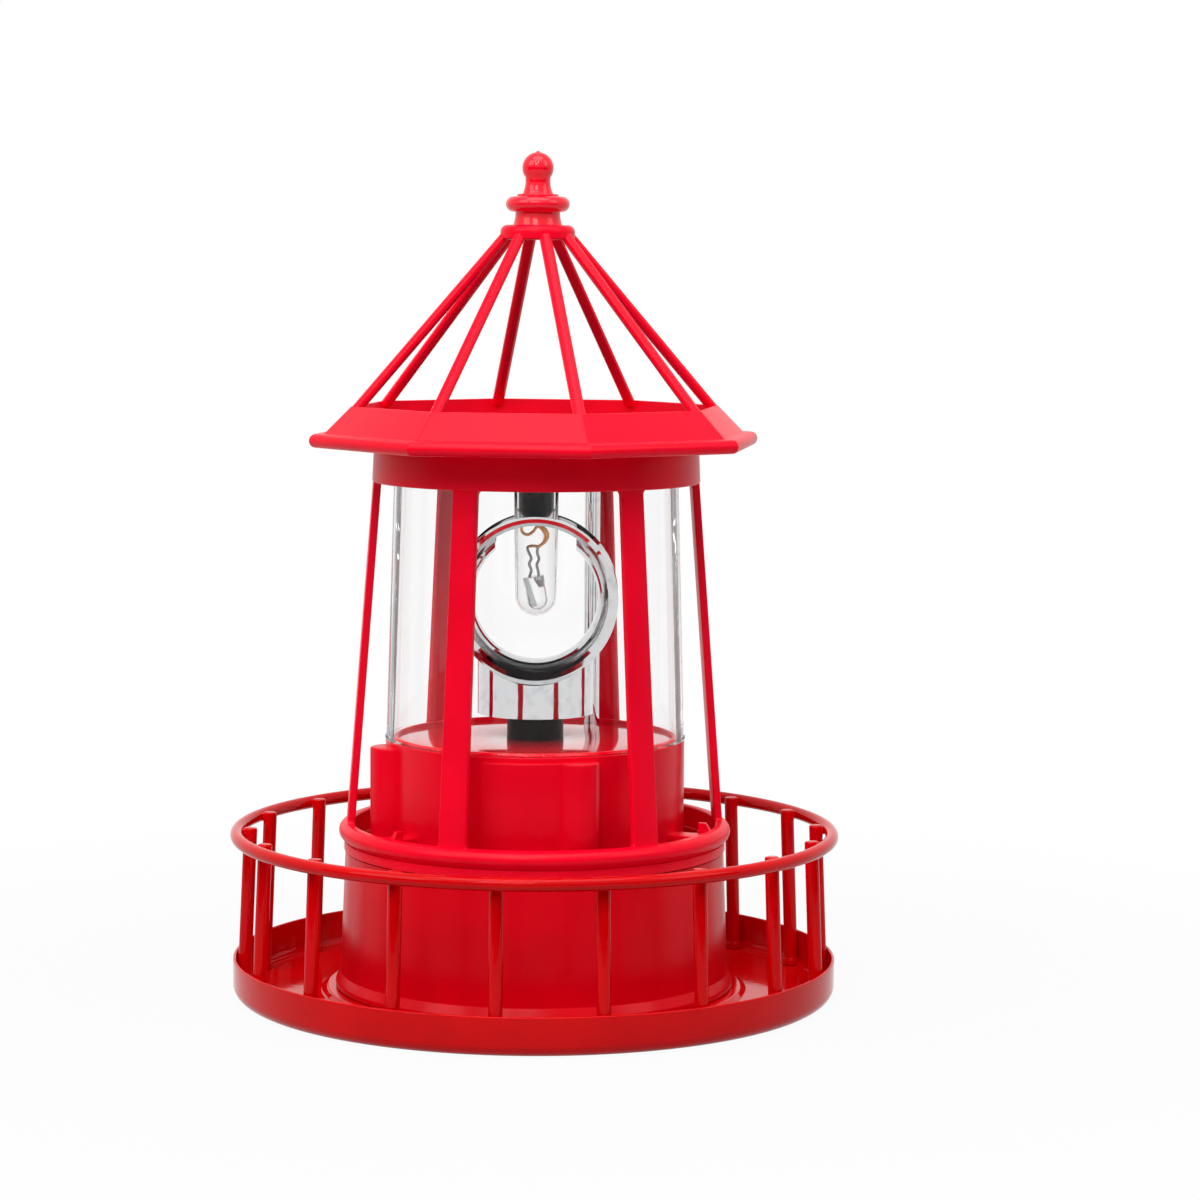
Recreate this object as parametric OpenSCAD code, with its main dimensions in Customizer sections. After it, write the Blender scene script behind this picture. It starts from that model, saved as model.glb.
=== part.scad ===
// Garden lighthouse ornament: a round railed gallery that carries a solar rotating beacon
// Millimetres, +Z up, origin at the bottom centre of the gallery tray
// Pieces are built toward the front (-Y) and turned round to their azimuth

/* [Gallery] */
// Outer diameter of the round tray
tray_d = 150; // [144:1:170]
// Height of the tray's upturned rim
tray_h = 9.6; // [8:0.1:14]
// Thickness of the tray's sheet steel
tray_sheet = 0.8; // [0.6:0.1:1.2]
// Radius of the bend between floor and rim
tray_bend = 3; // [2:0.1:4]
// Height of the rail's wire above the ground
rail_h = 40.2; // [35:0.1:46]
// Thickness of the rail's wire
rail_wire = 3.2; // [2.4:0.1:4]
// Distance from the tray's edge in to the middle of the rail's wire
rail_inset = 1; // [0.4:0.1:2]
// Thickness of a rail post
post_d = 3.4; // [2.4:0.1:4]
// Azimuth of the first rail post
post_turn = -6; // [-10:0.5:10]

/* [Base housing] */
// Distance from the upper body's wall out to the top of the housing's wall
housing_out = 10; // [9.6:0.1:12]
// Height of the base housing
housing_h = 34; // [30:0.5:40]
// Wall of the base housing
housing_wall = 2; // [1.8:0.1:2.1]
// Widening of the base housing toward its foot, on the radius
housing_draft = 1.2; // [0.8:0.1:1.4]
// Width of the foot bead beyond the wall
foot_bead = 1.2; // [0.6:0.1:1.6]
// Height of the foot bead
foot_bead_h = 2.6; // [1.8:0.1:4]

/* [Upper body] */
// Outer diameter of the upper body
body_d = 74.2; // [73.2:0.2:75]
// Height of the upper body
body_h = 28; // [28:0.5:34]
// Wall of the upper body
body_wall = 1.9; // [1.5:0.1:2.4]
// Radius of the half round screw columns
column_r = 5.1; // [4.4:0.1:5.2]
// Thickness of the polished floor disc
disc_t = 1.8; // [1.4:0.1:2.4]
// Width of the bayonet lugs, in degrees
lug_angle = 8.6; // [7:0.1:12]
// Thickness of the bayonet lugs
lug_t = 1.5; // [1.2:0.1:2]

/* [Clear tube] */
// Height of the clear tube
tube_h = 70.1; // [66:0.1:76]
// Wall of the clear tube
tube_wall = 1.9; // [1.4:0.1:2]
// Narrowing of the clear tube toward its top, on the radius
tube_draft = 2; // [1.4:0.1:2.4]

/* [Cage] */
// Distance from the upper body's wall out to the top of the collar
collar_out = 3; // [2.8:0.1:4.4]
// Height of the collar
collar_h = 8.7; // [7:0.1:12]
// Wall of the collar
collar_wall = 1.8; // [1.4:0.1:2]
// Number of legs
leg_count = 6; // [5:1:8]
// Width of a leg at its top
leg_top_w = 6.3; // [4:0.1:6.8]
// Width of a leg at its foot
leg_foot_w = 7.1; // [5:0.1:8]
// Thickness of a leg
leg_t = 1.9; // [1.6:0.1:2.4]
// Azimuth of the first leg
leg_turn = -24; // [-29:0.2:-21]
// Thickness of the round bead on the cage's bottom ring
bead_d = 4.3; // [3.6:0.1:5]

/* [Roof] */
// Number of roof sides and ribs
side_count = 8; // [8:2:12]
// Distance from the top corners of the eave out to the middle of its rounded edge
eave_out = 8.7; // [8:0.1:12]
// Thickness of the eave's rounded edge
eave_edge = 3.4; // [2.8:0.1:3.8]
// Distance from the collar out to the top corners of the eave
eave_top_out = 6.3; // [6:0.1:8]
// Height of the sloping face above the rounded edge
eave_slope_h = 6.6; // [6:0.1:9]
// Azimuth of the corner next to the front
roof_turn = 14; // [5:0.2:20]
// Height from the eave's top to the underside of the hub
spire_h = 40.7; // [34:0.1:50]
// Width of a rib
rib_w = 2.9; // [2.2:0.1:3.6]
// Thickness of a rib
rib_t = 2.4; // [2:0.1:2.6]
// Bevel along the edges of a rib
rib_bevel = 0.8; // [0.4:0.1:0.9]
// Radius of the hub
hub_r = 9.15; // [8.8:0.05:11]
// Height of the hub
hub_h = 3.6; // [3:0.1:5]

/* [Finial] */
// Radius of the ball
ball_r = 3.85; // [3.4:0.05:4.2]
// Outer radius of the ring moulding
knop_r = 7.85; // [7:0.05:8.6]
// Height of the finial above the hub
finial_h = 18.1; // [17.5:0.1:21]

/* [Beacon] */
// Outer radius of the reflector ring
ring_r = 20.4; // [19:0.1:21]
// Radius of the reflector ring's throat
throat_r = 15.3; // [14.5:0.1:15.8]
// Width of the reflector ring along its axis
ring_w = 16.8; // [16.2:0.1:18]
// Height of the ring's centre above the floor disc as a share of the clear tube's height
ring_rise_share = 0.498; // [0.49:0.002:0.54]
// Radius of the drum under the ring
drum_r = 14.35; // [13.5:0.05:15.5]
// Height of the drum's underside above the floor disc
drum_rise = 6.2; // [5:0.1:8]
// Radius of the black spindle
spindle_r = 7; // [6.4:0.1:7.6]
// Width of the ring's opening for the bulb
notch_w = 20; // [16:0.5:22]

/* [Gear train] */
// Tooth size of the gears as a share of the upper body's inner radius
gear_share = 0.0142; // [0.0128:0.0001:0.0146]
// Teeth on the spindle's gear
spindle_teeth = 48; // [46:1:50]
// Teeth on the idler's small gear
idler_small_teeth = 12; // [12:1:14]
// Teeth on the idler's large gear
idler_large_teeth = 40; // [36:2:40]
// Teeth on the motor's pinion
pinion_teeth = 10; // [10:1:12]
// Slack between teeth on the pitch circle
backlash = 0.12; // [0.08:0.01:0.2]
// Radius of the motor's can as a share of the upper body's inner radius
motor_share = 0.28; // [0.23:0.005:0.285]
// Length of the motor's can
motor_len = 13.4; // [10:0.1:13.6]

/* [Bulb] */
// Outer radius of the glass bulb at its top
bulb_r = 5.6; // [5.2:0.05:5.9]
// Length of the glass bulb
bulb_len = 36.3; // [34:0.1:38]
// Wall of the glass bulb
bulb_wall = 0.55; // [0.4:0.05:0.7]
// Radius of the diode's clear body
led_r = 2.6; // [2:0.1:2.7]
// Length of the diode's clear body
led_len = 8.2; // [7:0.1:8.8]

/* [Power] */
// Diameter of the battery
cell_d = 14.3; // [13.8:0.1:14.6]
// Length of the battery over its button
cell_len = 50.3; // [49:0.1:50.6]
// Travel of the switch knob
switch_travel = 3; // [2:0.1:3.6]
// Radius of the wire tube beside the beacon
conduit_r = 2; // [1.8:0.1:2.4]
// Thickness of the solar panel
panel_t = 2.4; // [1.6:0.1:2.8]

/* [Hidden] */
$fn = 72;
// Overrun of cuts beyond a face
over = 1;
// Gap at a weld, a press seat or a glued seat
seat_gap = 0.05;
// Running gap of a shaft in its bore
run_gap = 0.05;
// Gap between pieces that turn past each other
turn_gap = 0.3;
// Steps of a rounded profile
arc_steps = 8;
// Steps over the inside of the reflector ring
flare_steps = 16;

// Tray
tray_r = tray_d / 2;
pad_rise = 1.2;
pad_margin = 1.8;
pad_slope = 1.2;
base_z = pad_rise + tray_sheet;

// Rail and posts
post_count = 18;
rail_r = tray_r - rail_inset;
post_r = post_d / 2;
foot_sink_share = 0.3;
post_foot_z = tray_bend - foot_sink_share * (tray_bend - tray_sheet);
post_foot_gap = 0.25;
post_foot_r = tray_r - tray_sheet - post_foot_gap - post_r;
post_top_r = rail_r - rail_wire / 2 - seat_gap - post_r;
post_top_share = 0.58;
post_top_z = rail_h + rail_wire * post_top_share;
post_lean = atan((post_foot_r - post_top_r) / (rail_h - post_foot_z));

// Base housing
body_r = body_d / 2;
housing_r = body_r + housing_out;
housing_foot_r = housing_r + housing_draft;
foot_r = housing_foot_r + foot_bead;
bead_roll_angle = 20;
pad_r = foot_r + pad_margin;
tray_hole_in = 7.1;
tray_hole_r = housing_r - tray_hole_in;
deck_z = base_z + housing_h;
deck_t = 2;
deck_hole_in = 6.1;
deck_hole_r = body_r - deck_hole_in;
cover_lift = 0.2;
cover_t = 2.4;
cover_z = base_z + cover_lift;
cover_top = cover_z + cover_t;
cover_gap = 0.2;
cover_r = housing_foot_r - housing_wall - cover_gap;

// Upper body
body_top = deck_z + body_h;
body_in_r = body_r - body_wall;
rim_w = 3.1;
rim_in_r = body_r - rim_w;
locate_w = 0.95;
locate_h = 0.7;
ledge_w = 1.8;
ledge_t = 1.6;
disc_seat = body_top - disc_t;
ledge_z = disc_seat - ledge_t;
disc_r = rim_in_r - seat_gap;
column_sink = 0.2;
column_c = body_r - column_sink;
column_drop = 1.1;
column_turns = [17.5, -72.5, 152.5];
column_reach = column_c + column_r;
front_pad_turn = -18.5;
front_pad_angle = 29;
front_pad_t = 1.2;
front_pad_lift = 0.3;
front_pad_drop = 1.2;

// Cage's bottom ring
skirt_lip = 0.3;
skirt_out_r = housing_r + skirt_lip;
skirt_t = 2.2;
ring_in_r = skirt_out_r - skirt_t;
skirt_z = deck_z + turn_gap;
skirt_h = 2.5;
bead_r = bead_d / 2;
bead_z = skirt_z + skirt_h + bead_r;
bead_sink = 0.85;
bead_dip_angle = 65;
bead_c_r = skirt_out_r - bead_sink;
spigot_h = 2.2;
spigot_w = 1.6;
spigot_r = ring_in_r - run_gap;

// Bayonet between upper body and cage
lug_turn = -53.3;
lug_count = 3;
lug_rise = 4.9;
lug_z = deck_z + lug_rise;
lug_tip_gap = 1;
lug_r = ring_in_r - lug_tip_gap;
tab_gap = 0.2;
tab_t = 2.1;
tab_z = lug_z - tab_gap - tab_t;
tab_r = column_reach + turn_gap;
tab_reach = ring_in_r + bead_r;
stop_angle = 2;
stop_gap_angle = 0.3;
stop_inset = 0.3;
stop_t = 1.2;
tab_angle = lug_angle + stop_gap_angle + stop_angle;
stop_h = 4.1;
stop_tip_share = 0.4;

// Clear tube
cap_z = body_top + tube_h;
tube_inset = 0.15;
tube_foot_r = body_r - tube_inset;
tube_lip = 0.35;
tube_lip_h = 0.8;
tube_top_r = tube_foot_r - tube_draft;

// Solar holder and panel
holder_gap = 0.2;
holder_skirt = 0.9;
holder_in_r = tube_top_r + holder_gap;
holder_r = holder_in_r + holder_skirt;
holder_drop = 3;
holder_t = 2;
holder_z = cap_z + seat_gap;
holder_rim_w = 3;
holder_rim_h = 3.1;
panel_r = holder_r - holder_rim_w;
panel_z = holder_z + holder_t;

// Collar and legs
roof_lift = 2.2;
eave_z = cap_z + roof_lift;
collar_z = eave_z - collar_h;
collar_draft = 0.4;
collar_r = body_r + collar_out;
collar_foot_r = collar_r + collar_draft;
collar_in_r = collar_r - collar_wall;
leg_bite_share = 0.25;
leg_top_z = collar_z + collar_h * leg_bite_share;
leg_foot_out = 0.35;
leg_foot_face = bead_c_r + leg_foot_out;
leg_rise = leg_top_z - bead_z;
leg_lean = atan((leg_foot_face - collar_r) / leg_rise);
leg_len = leg_rise / cos(leg_lean);
leg_flare = 1.4;
leg_flare_sink = 0.4;

// Eave
eave_edge_r = eave_edge / 2;
eave_top_r = collar_r + eave_top_out;
eave_r = eave_top_r + eave_out;
eave_step = 2;
eave_slope_z = eave_z + eave_edge;
eave_top_z = eave_slope_z + eave_slope_h;
eave_slope_r = eave_r - eave_step;
eave_run = eave_slope_r - eave_top_r;
eave_lip = 0.65;
eave_wall_r = eave_top_r - eave_lip;
eave_skin = 1.6;
eave_pocket_r = eave_wall_r + eave_skin;
eave_shift = eave_skin * norm([eave_run, eave_slope_h]) / eave_slope_h;
eave_pocket_z = eave_slope_z + eave_slope_h * (eave_slope_r - eave_shift - eave_pocket_r) / eave_run;
eave_ledge_t = 1.9;
eave_ledge_sink = 0.3;
ledge_gap = 0.6;
ledge_in_r = holder_r + ledge_gap;
collar_gap = 0.2;
eave_spigot_r = collar_in_r - collar_gap;
eave_spigot_h = 3.2;
eave_seat_r = (collar_r + ledge_gap) / cos(180 / side_count);

// Spire
hub_z = eave_top_z + spire_h;
rib_foot_in = 2;
rib_foot_c = eave_top_r - rib_foot_in;
rib_head_in = 0.3;
rib_head_c = hub_r - rib_head_in;
rib_rake = atan(spire_h / (rib_foot_c - rib_head_c));
rib_bite = 1.6;
rib_head_bite = 2;
hub_edge = 0.5;
hub_round_share = 0.5;
hub_bore_r = 2.45;

// Finial
finial_z = hub_z + hub_h;
peg_len = 3.4;
neck_foot_r = 6.05;
neck_waist_r = 5.5;
knop_rise = 5.1;
knop_z = finial_z + knop_rise;
knop_tube = 1.9;
step_r = 5.1;
step_t = 0.55;
step_top = knop_z + knop_tube + step_t;
stem_foot_r = 3.8;
stem_waist_r = 3.05;
tip_r = 0.25;
tip_h = 0.32;
ball_z = finial_z + finial_h - ball_r - tip_h;
ball_foot_angle = -37;
ball_top_angle = 80;
stem_gap = 0.9;
stem_waist_z = ball_z + ball_r * sin(ball_foot_angle) - stem_gap;

// Beacon
ring_z = body_top + ring_rise_share * tube_h;
ring_half = ring_w / 2;
ring_lip = 0.5;
ring_skin = 1.3;
flare_rise = ring_r - ring_lip - throat_r;
flare_r = (ring_half * ring_half + flare_rise * flare_rise) / (2 * flare_rise);
flare_c = throat_r + flare_r;
flare_angle = asin(ring_half / flare_r);
back_flare_r = flare_r - ring_skin;
back_angle = acos((flare_c - ring_r) / back_flare_r);
notch_rim = 1.5;
drum_z = body_top + drum_rise;
drum_cheek = 15.5;
drum_wall = 1.4;
drum_hollow_h = 5.6;
drum_boss_r = 7.6;
spigot_fit_r = 5;
spigot_fit_h = 4.6;
spindle_bevel = 1;

// Gear train
gear_module = gear_share * body_in_r;
motor_r = motor_share * body_in_r;
spindle_hub_share = 7.6;
spindle_hub_r = spindle_hub_share * gear_module;
plate_drop = 12.2;
plate_t = 2;
plate_z = disc_seat - plate_drop;
plate_top = plate_z + plate_t;
plate_gap = 0.3;
plate_r = body_in_r - plate_gap;
bearing_r = 2;
bearing_boss_r = 4;
bearing_boss_h = 3;
gear_lift = 5;
spindle_gear_z = plate_top + gear_lift;
spindle_gear_t = 3.2;
hub_gap = 0.1;
idler_gap = 0.3;
idler_z = plate_top + idler_gap;
idler_hub_t = 0.6;
idler_large_t = 2.2;
idler_large_z = idler_z + idler_hub_t;
idler_small_z = idler_large_z + idler_large_t;
idler_small_t = 5.3;
idler_hub_r = 2.2;
axle_r = 1;
axle_boss_r = 2.2;
axle_boss_h = 1.1;
pinion_drop = 0.3;
pinion_z = idler_large_z - pinion_drop;
pinion_t = 2.8;
shaft_r = 0.75;
shaft_hole_r = 1.4;
idler_turn = -120;
motor_turn = 180;
idler_c = gear_module * (spindle_teeth + idler_small_teeth) / 2;
motor_c = gear_module * (idler_large_teeth + pinion_teeth) / 2;
idler_x = idler_c * cos(idler_turn);
idler_y = idler_c * sin(idler_turn);
motor_x = idler_x + motor_c * cos(motor_turn);
motor_y = idler_y + motor_c * sin(motor_turn);
motor_gap = 0.05;
motor_boss_r = 3;
motor_boss_h = 1.2;
shaft_in = 4;
pressure_angle = 20;
addendum_share = 0.95;
dedendum_share = 1.25;
flank_steps = 3;
stand_count = 3;
stand_turn = 0;
stand_w = 5;
stand_reach = 6.5;
stand_in_r = body_r - stand_reach;
stand_screw_in = 4.3;
stand_screw_c = body_r - stand_screw_in;

// Bulb, socket and diode
socket_lift = 3.6;
bulb_top = cap_z - socket_lift;
bulb_taper = 0.5;
bulb_foot_r = bulb_r - bulb_taper;
bulb_end_z = bulb_top - bulb_len + bulb_foot_r;
plug_r = 4.4;
plug_end_r = 3.4;
plug_len = 11.8;
plug_bevel = 1.6;
cup_r = 7.4;
cup_h = 2.2;
led_lean = 10;
led_gap = 2.2;
led_foot_z = bulb_top - bulb_len + led_gap;
lead_r = 0.3;
lead_gap = 2.2;
lead_top = bulb_top - plug_len;
loop_r = 2.3;
loop_drop = 6.8;
loop_z = lead_top - loop_drop;
led_shift = led_len * sin(led_lean) / 2;
lead_foot_gap = 0.3;
lead_foot_z = led_foot_z + led_len * cos(led_lean) + lead_foot_gap;

// Wire tube
conduit_in = 7.6;
conduit_angle = 151.9;
conduit_c = body_r - conduit_in;
conduit_x = conduit_c * sin(conduit_angle);
conduit_y = -conduit_c * cos(conduit_angle);
conduit_wall = 0.45;
conduit_seat = 0.6;
loom_r = 1.2;
loom_drop = 4;

// Screws
screw_r = 1.1;
screw_pilot_r = 1.15;
screw_clear_r = 1.5;
screw_head_r = 2.1;
screw_head_h = 0.9;
head_gap = 0.3;
screw_bite = 7;
rim_screw_in = 3.7;
rim_screw_c = housing_r - rim_screw_in;
rim_screw_boss_r = 3.4;
rim_screw_count = 3;
cover_screw_turn = 0;
tray_screw_turn = 60;
column_screw_out = 1.2;
column_screw_c = body_r + column_screw_out;
plate_screw_r = 0.9;
plate_screw_head_r = 1.8;
plate_screw_bite = 5;

// Battery bay and door
bay_y = 9;
bay_gap = 0.5;
bay_wall = 1.4;
contact_t = 0.4;
contact_w = 9;
contact_h = 11;
spring_room = 3.3;
spring_bow = 1.1;
bay_len = cell_len + contact_t + spring_room;
bay_w = cell_d + 2 * bay_gap;
bay_h = cell_d + bay_gap;
cell_lift = 0.2;
cell_z = cover_top + cell_d / 2 + cell_lift;
cell_nub_r = 2.7;
cell_nub_h = 1.2;
contact_x = bay_len / 2 - seat_gap - contact_t;
cell_x = contact_x - seat_gap - cell_len;
door_t = 1.4;
door_margin = 1.6;
door_tail = 6;
door_gap = 0.25;
door_screw_out = 3.6;
door_screw_x = bay_len / 2 + door_screw_out;
door_boss_r = 2.5;
door_boss_h = 7;
door_screw_bite = 5;

// Switch and circuit board
switch_x = -14;
switch_y = -12;
switch_len = 10.4;
switch_w = 6;
switch_h = 5;
knob_len = 3;
knob_w = 2.6;
knob_gap = 0.2;
knob_out = 1;
knob_in = 3;
slot_len = knob_len + switch_travel + 2 * knob_gap;
slot_w = knob_w + 2 * knob_gap;
board_y = -18;
board_x = 8;
board_len = 26;
board_w = 18;
board_t = 1.6;
board_lift = 3;
board_z = cover_top + board_lift;
board_post_r = 1.6;
board_post_inset = 3;
chip_len = 6;
chip_w = 4;
chip_t = 1.6;
coil_r = 3;
coil_h = 7;

fixed_nodes = ["gallery_tray", "gallery_rail", "tray_screws", "base_housing", "bottom_cover",
    "cover_screws", "battery_door", "door_screw", "battery_cell", "contact_plate", "contact_spring",
    "circuit_board", "switch_case", "switch_knob", "upper_body", "body_screws", "gear_plate",
    "plate_screws", "motor", "motor_pinion", "idler_axle", "idler_gear", "spindle", "reflector",
    "floor_disc", "clear_tube", "solar_holder", "solar_panel", "bulb_socket", "bulb_glass", "led",
    "led_leads", "conduit", "conduit_wires", "cage", "eave", "spire", "finial"];
function post_name(i) = str("rail_post_", i < 9 ? "0" : "", i + 1);

// Turns a piece built toward the front round to an azimuth
module turned(a) {
    rotate([0, 0, a]) children();
}

// Copies a piece evenly round the axis
module ring_of(n, a) {
    for (i = [0 : n - 1]) turned(a + i * 360 / n) children();
}

// Points along an arc, from angle a to angle b
function arc(x, y, r, a, b, n = arc_steps) =
    [for (i = [0 : n]) [x + r * cos(a + (b - a) * i / n), y + r * sin(a + (b - a) * i / n)]];

// Points along a turned flare, wide at its foot and upright at its waist
function flare(foot_r, foot_z, waist_r, waist_z, n = arc_steps) =
    [for (i = [0 : n]) [waist_r + (foot_r - waist_r) * pow(1 - i / n, 2), foot_z + (waist_z - foot_z) * i / n]];

// A sector of a ring, centred on azimuth zero
module sector(r_in, r_out, z, h, a) {
    rotate([0, 0, -90 - a / 2])
        rotate_extrude(angle = a) translate([r_in, z]) square([r_out - r_in, h]);
}

// A screw that points up from under its head
module screw_up(r, l, head_r, head_h) {
    cylinder(r = head_r, h = head_h);
    cylinder(r = r, h = head_h + l);
}

// Gear outline with involute flanks
function inv(t) = t * 180 / PI - atan(t);
function flank(rb, psi, t, side) = let (a = side * (psi - inv(t)), r = rb * sqrt(1 + t * t))
    [r * cos(a), r * sin(a)];
function spun(p, a) = [p[0] * cos(a) - p[1] * sin(a), p[0] * sin(a) + p[1] * cos(a)];
function tooth(n) = let (
    rp = gear_module * n / 2,
    rb = rp * cos(pressure_angle),
    ra = rp + gear_module * addendum_share,
    rf = rp - gear_module * dedendum_share,
    psi = 90 / n - backlash / (4 * rp) * 180 / PI + inv(tan(pressure_angle)),
    t0 = rf > rb ? sqrt(rf * rf / (rb * rb) - 1) : 0,
    t1 = sqrt(ra * ra / (rb * rb) - 1),
    foot = psi - inv(t0)
) concat(
    [[rf * cos(foot), -rf * sin(foot)]],
    [for (i = [0 : flank_steps]) flank(rb, psi, t0 + (t1 - t0) * i / flank_steps, -1)],
    [for (i = [flank_steps : -1 : 0]) flank(rb, psi, t0 + (t1 - t0) * i / flank_steps, 1)],
    [[rf * cos(foot), rf * sin(foot)]]
);
module gear(n, t) {
    linear_extrude(height = t)
        polygon([for (i = [0 : n - 1]) for (p = tooth(n)) spun(p, i * 360 / n)]);
}

// Gallery: pressed tray, bent rail and welded posts
module gallery_tray() {
    pad_foot = pad_r + pad_slope;
    bend_r = tray_r - tray_bend;
    shift = tray_sheet * tan(atan(pad_rise / pad_slope) / 2);
    color("firebrick")
    difference() {
        rotate_extrude()
            polygon(concat(
                [[tray_hole_r, pad_rise], [pad_r, pad_rise], [pad_foot, 0]],
                arc(bend_r, tray_bend, tray_bend, -90, 0),
                arc(tray_r - tray_sheet / 2, tray_h - tray_sheet / 2, tray_sheet / 2, 0, 180),
                arc(bend_r, tray_bend, tray_bend - tray_sheet, 0, -90),
                [[pad_foot + shift, tray_sheet], [pad_r + shift, base_z], [tray_hole_r, base_z]]
            ));
        ring_of(rim_screw_count, tray_screw_turn)
            translate([0, -rim_screw_c, 0]) cylinder(r = screw_clear_r, h = base_z + over);
    }
}

module gallery_rail() {
    color("firebrick")
    rotate_extrude()
        translate([rail_r, rail_h]) circle(d = rail_wire);
}

module rail_post(i) {
    post_h = post_top_z - post_foot_z;
    color("firebrick")
    turned(post_turn + i * 360 / post_count)
        intersection() {
            translate([0, -post_foot_r, post_foot_z])
                rotate([-post_lean, 0, 0])
                    translate([0, 0, -post_d]) cylinder(r = post_r, h = post_h + 2 * post_d);
            translate([-post_d, -tray_r, post_foot_z])
                cube([2 * post_d, tray_r - post_top_r + 2 * post_d, post_h]);
        }
}

module tray_screws() {
    color("silver")
    ring_of(rim_screw_count, tray_screw_turn)
        translate([0, -rim_screw_c, pad_rise - screw_head_h])
            screw_up(screw_r, screw_bite, screw_head_r, screw_head_h);
}

// Base housing: a drafted cup, open below, with a deck for the upper body
module base_housing() {
    foot_wall = housing_foot_r - housing_wall;
    deck_wall = housing_r - housing_wall;
    bead = foot_bead_h / 2;
    color("red")
    difference() {
        union() {
            rotate_extrude()
                polygon(concat(
                    [[foot_wall, base_z], [foot_r - bead, base_z]],
                    arc(foot_r - bead, base_z + bead, bead, -90, bead_roll_angle),
                    [[housing_foot_r, base_z + foot_bead_h + foot_bead],
                     [housing_r, deck_z], [spigot_r, deck_z],
                     [spigot_r, deck_z + spigot_h], [spigot_r - spigot_w, deck_z + spigot_h],
                     [spigot_r - spigot_w, deck_z], [deck_hole_r, deck_z],
                     [deck_hole_r, deck_z - deck_t], [deck_wall, deck_z - deck_t]]
                ));
            ring_of(2 * rim_screw_count, cover_screw_turn)
                translate([0, -rim_screw_c, cover_top])
                    cylinder(r = rim_screw_boss_r, h = deck_z - deck_t / 2 - cover_top);
        }
        ring_of(2 * rim_screw_count, cover_screw_turn)
            translate([0, -rim_screw_c, cover_top - over])
                cylinder(r = screw_pilot_r, h = screw_bite + over);
        for (a = column_turns) turned(a)
            translate([0, -column_screw_c, deck_z - deck_t - over])
                cylinder(r = screw_clear_r, h = deck_t + 2 * over);
    }
}

// Bottom cover with the battery bay, its door and the switch slot
module bay_box(grow, h) {
    translate([-bay_len / 2 - grow, bay_y - bay_w / 2 - grow, 0])
        cube([bay_len + 2 * grow, bay_w + 2 * grow, h]);
}

module door_plate(grow, h) {
    l = bay_len + 2 * door_margin + door_tail;
    translate([-bay_len / 2 - door_margin - grow, bay_y - bay_w / 2 - door_margin - grow, 0])
        cube([l + 2 * grow, bay_w + 2 * door_margin + 2 * grow, h]);
}

module bottom_cover() {
    color("darkred")
    difference() {
        union() {
            translate([0, 0, cover_z]) cylinder(r = cover_r, h = cover_t);
            translate([0, 0, cover_z]) bay_box(bay_wall, cover_t + bay_h + bay_wall);
            translate([door_screw_x, bay_y, cover_z]) cylinder(r = door_boss_r, h = door_boss_h);
            for (i = [-1, 1])
                translate([board_x + i * (board_len / 2 - board_post_inset), board_y, cover_z])
                    cylinder(r = board_post_r, h = board_z - cover_z);
        }
        translate([0, 0, cover_z - over]) bay_box(0, over + cover_t + bay_h);
        translate([0, 0, cover_z - over]) door_plate(door_gap, over + door_t + seat_gap);
        translate([door_screw_x, bay_y, cover_z]) cylinder(r = screw_pilot_r, h = door_screw_bite + over);
        translate([switch_x - knob_len / 2 - knob_gap, switch_y - slot_w / 2, cover_z - over])
            cube([slot_len, slot_w, cover_t + 2 * over]);
        ring_of(2 * rim_screw_count, cover_screw_turn)
            translate([0, -rim_screw_c, cover_z - over]) cylinder(r = screw_clear_r, h = cover_t + 2 * over);
        ring_of(rim_screw_count, cover_screw_turn)
            translate([0, -rim_screw_c, cover_z - over])
                cylinder(r = screw_head_r + head_gap, h = over + screw_head_h + seat_gap);
    }
}

module cover_screws() {
    color("silver")
    ring_of(rim_screw_count, cover_screw_turn)
        translate([0, -rim_screw_c, cover_z + seat_gap])
            screw_up(screw_r, screw_bite, screw_head_r, screw_head_h);
}

module battery_door() {
    color("darkred")
    difference() {
        translate([0, 0, cover_z]) door_plate(0, door_t);
        translate([door_screw_x, bay_y, base_z - over]) cylinder(r = screw_clear_r, h = door_t + 2 * over);
        translate([door_screw_x, bay_y, base_z - over])
            cylinder(r = screw_head_r + head_gap, h = over + cover_lift + screw_head_h / 2);
    }
}

module door_screw() {
    color("silver")
    translate([door_screw_x, bay_y, cover_z - screw_head_h / 2])
        screw_up(screw_r, door_screw_bite, screw_head_r, screw_head_h);
}

module battery_cell() {
    can_len = cell_len - cell_nub_h;
    color("green")
    translate([cell_x, bay_y, cell_z])
        rotate([0, 90, 0]) {
            cylinder(d = cell_d, h = can_len);
            cylinder(r = cell_nub_r, h = cell_len);
        }
}

module contact_plate() {
    color("silver")
    translate([contact_x, bay_y - contact_w / 2, cell_z - contact_h / 2])
        cube([contact_t, contact_w, contact_h]);
}

module contact_spring() {
    x0 = -bay_len / 2 + seat_gap;
    tip = cell_x - seat_gap;
    color("silver")
    translate([0, bay_y + contact_w / 2, cell_z])
        rotate([90, 0, 0])
            linear_extrude(height = contact_w)
                polygon([[x0, -contact_h / 2], [x0 + contact_t, -contact_h / 2],
                    [x0 + contact_t, -spring_bow], [tip, 0], [x0 + contact_t, spring_bow],
                    [x0 + contact_t, contact_h / 2], [x0, contact_h / 2]]);
}

// Circuit board with its driver chip and storage coil
module circuit_board() {
    color("seagreen")
    translate([board_x, board_y, board_z + seat_gap]) {
        translate([-board_len / 2, -board_w / 2, 0]) cube([board_len, board_w, board_t]);
        translate([-chip_len, 0, board_t]) cube([chip_len, chip_w, chip_t]);
        translate([board_len / 4, 0, board_t]) cylinder(r = coil_r, h = coil_h);
    }
}

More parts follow.
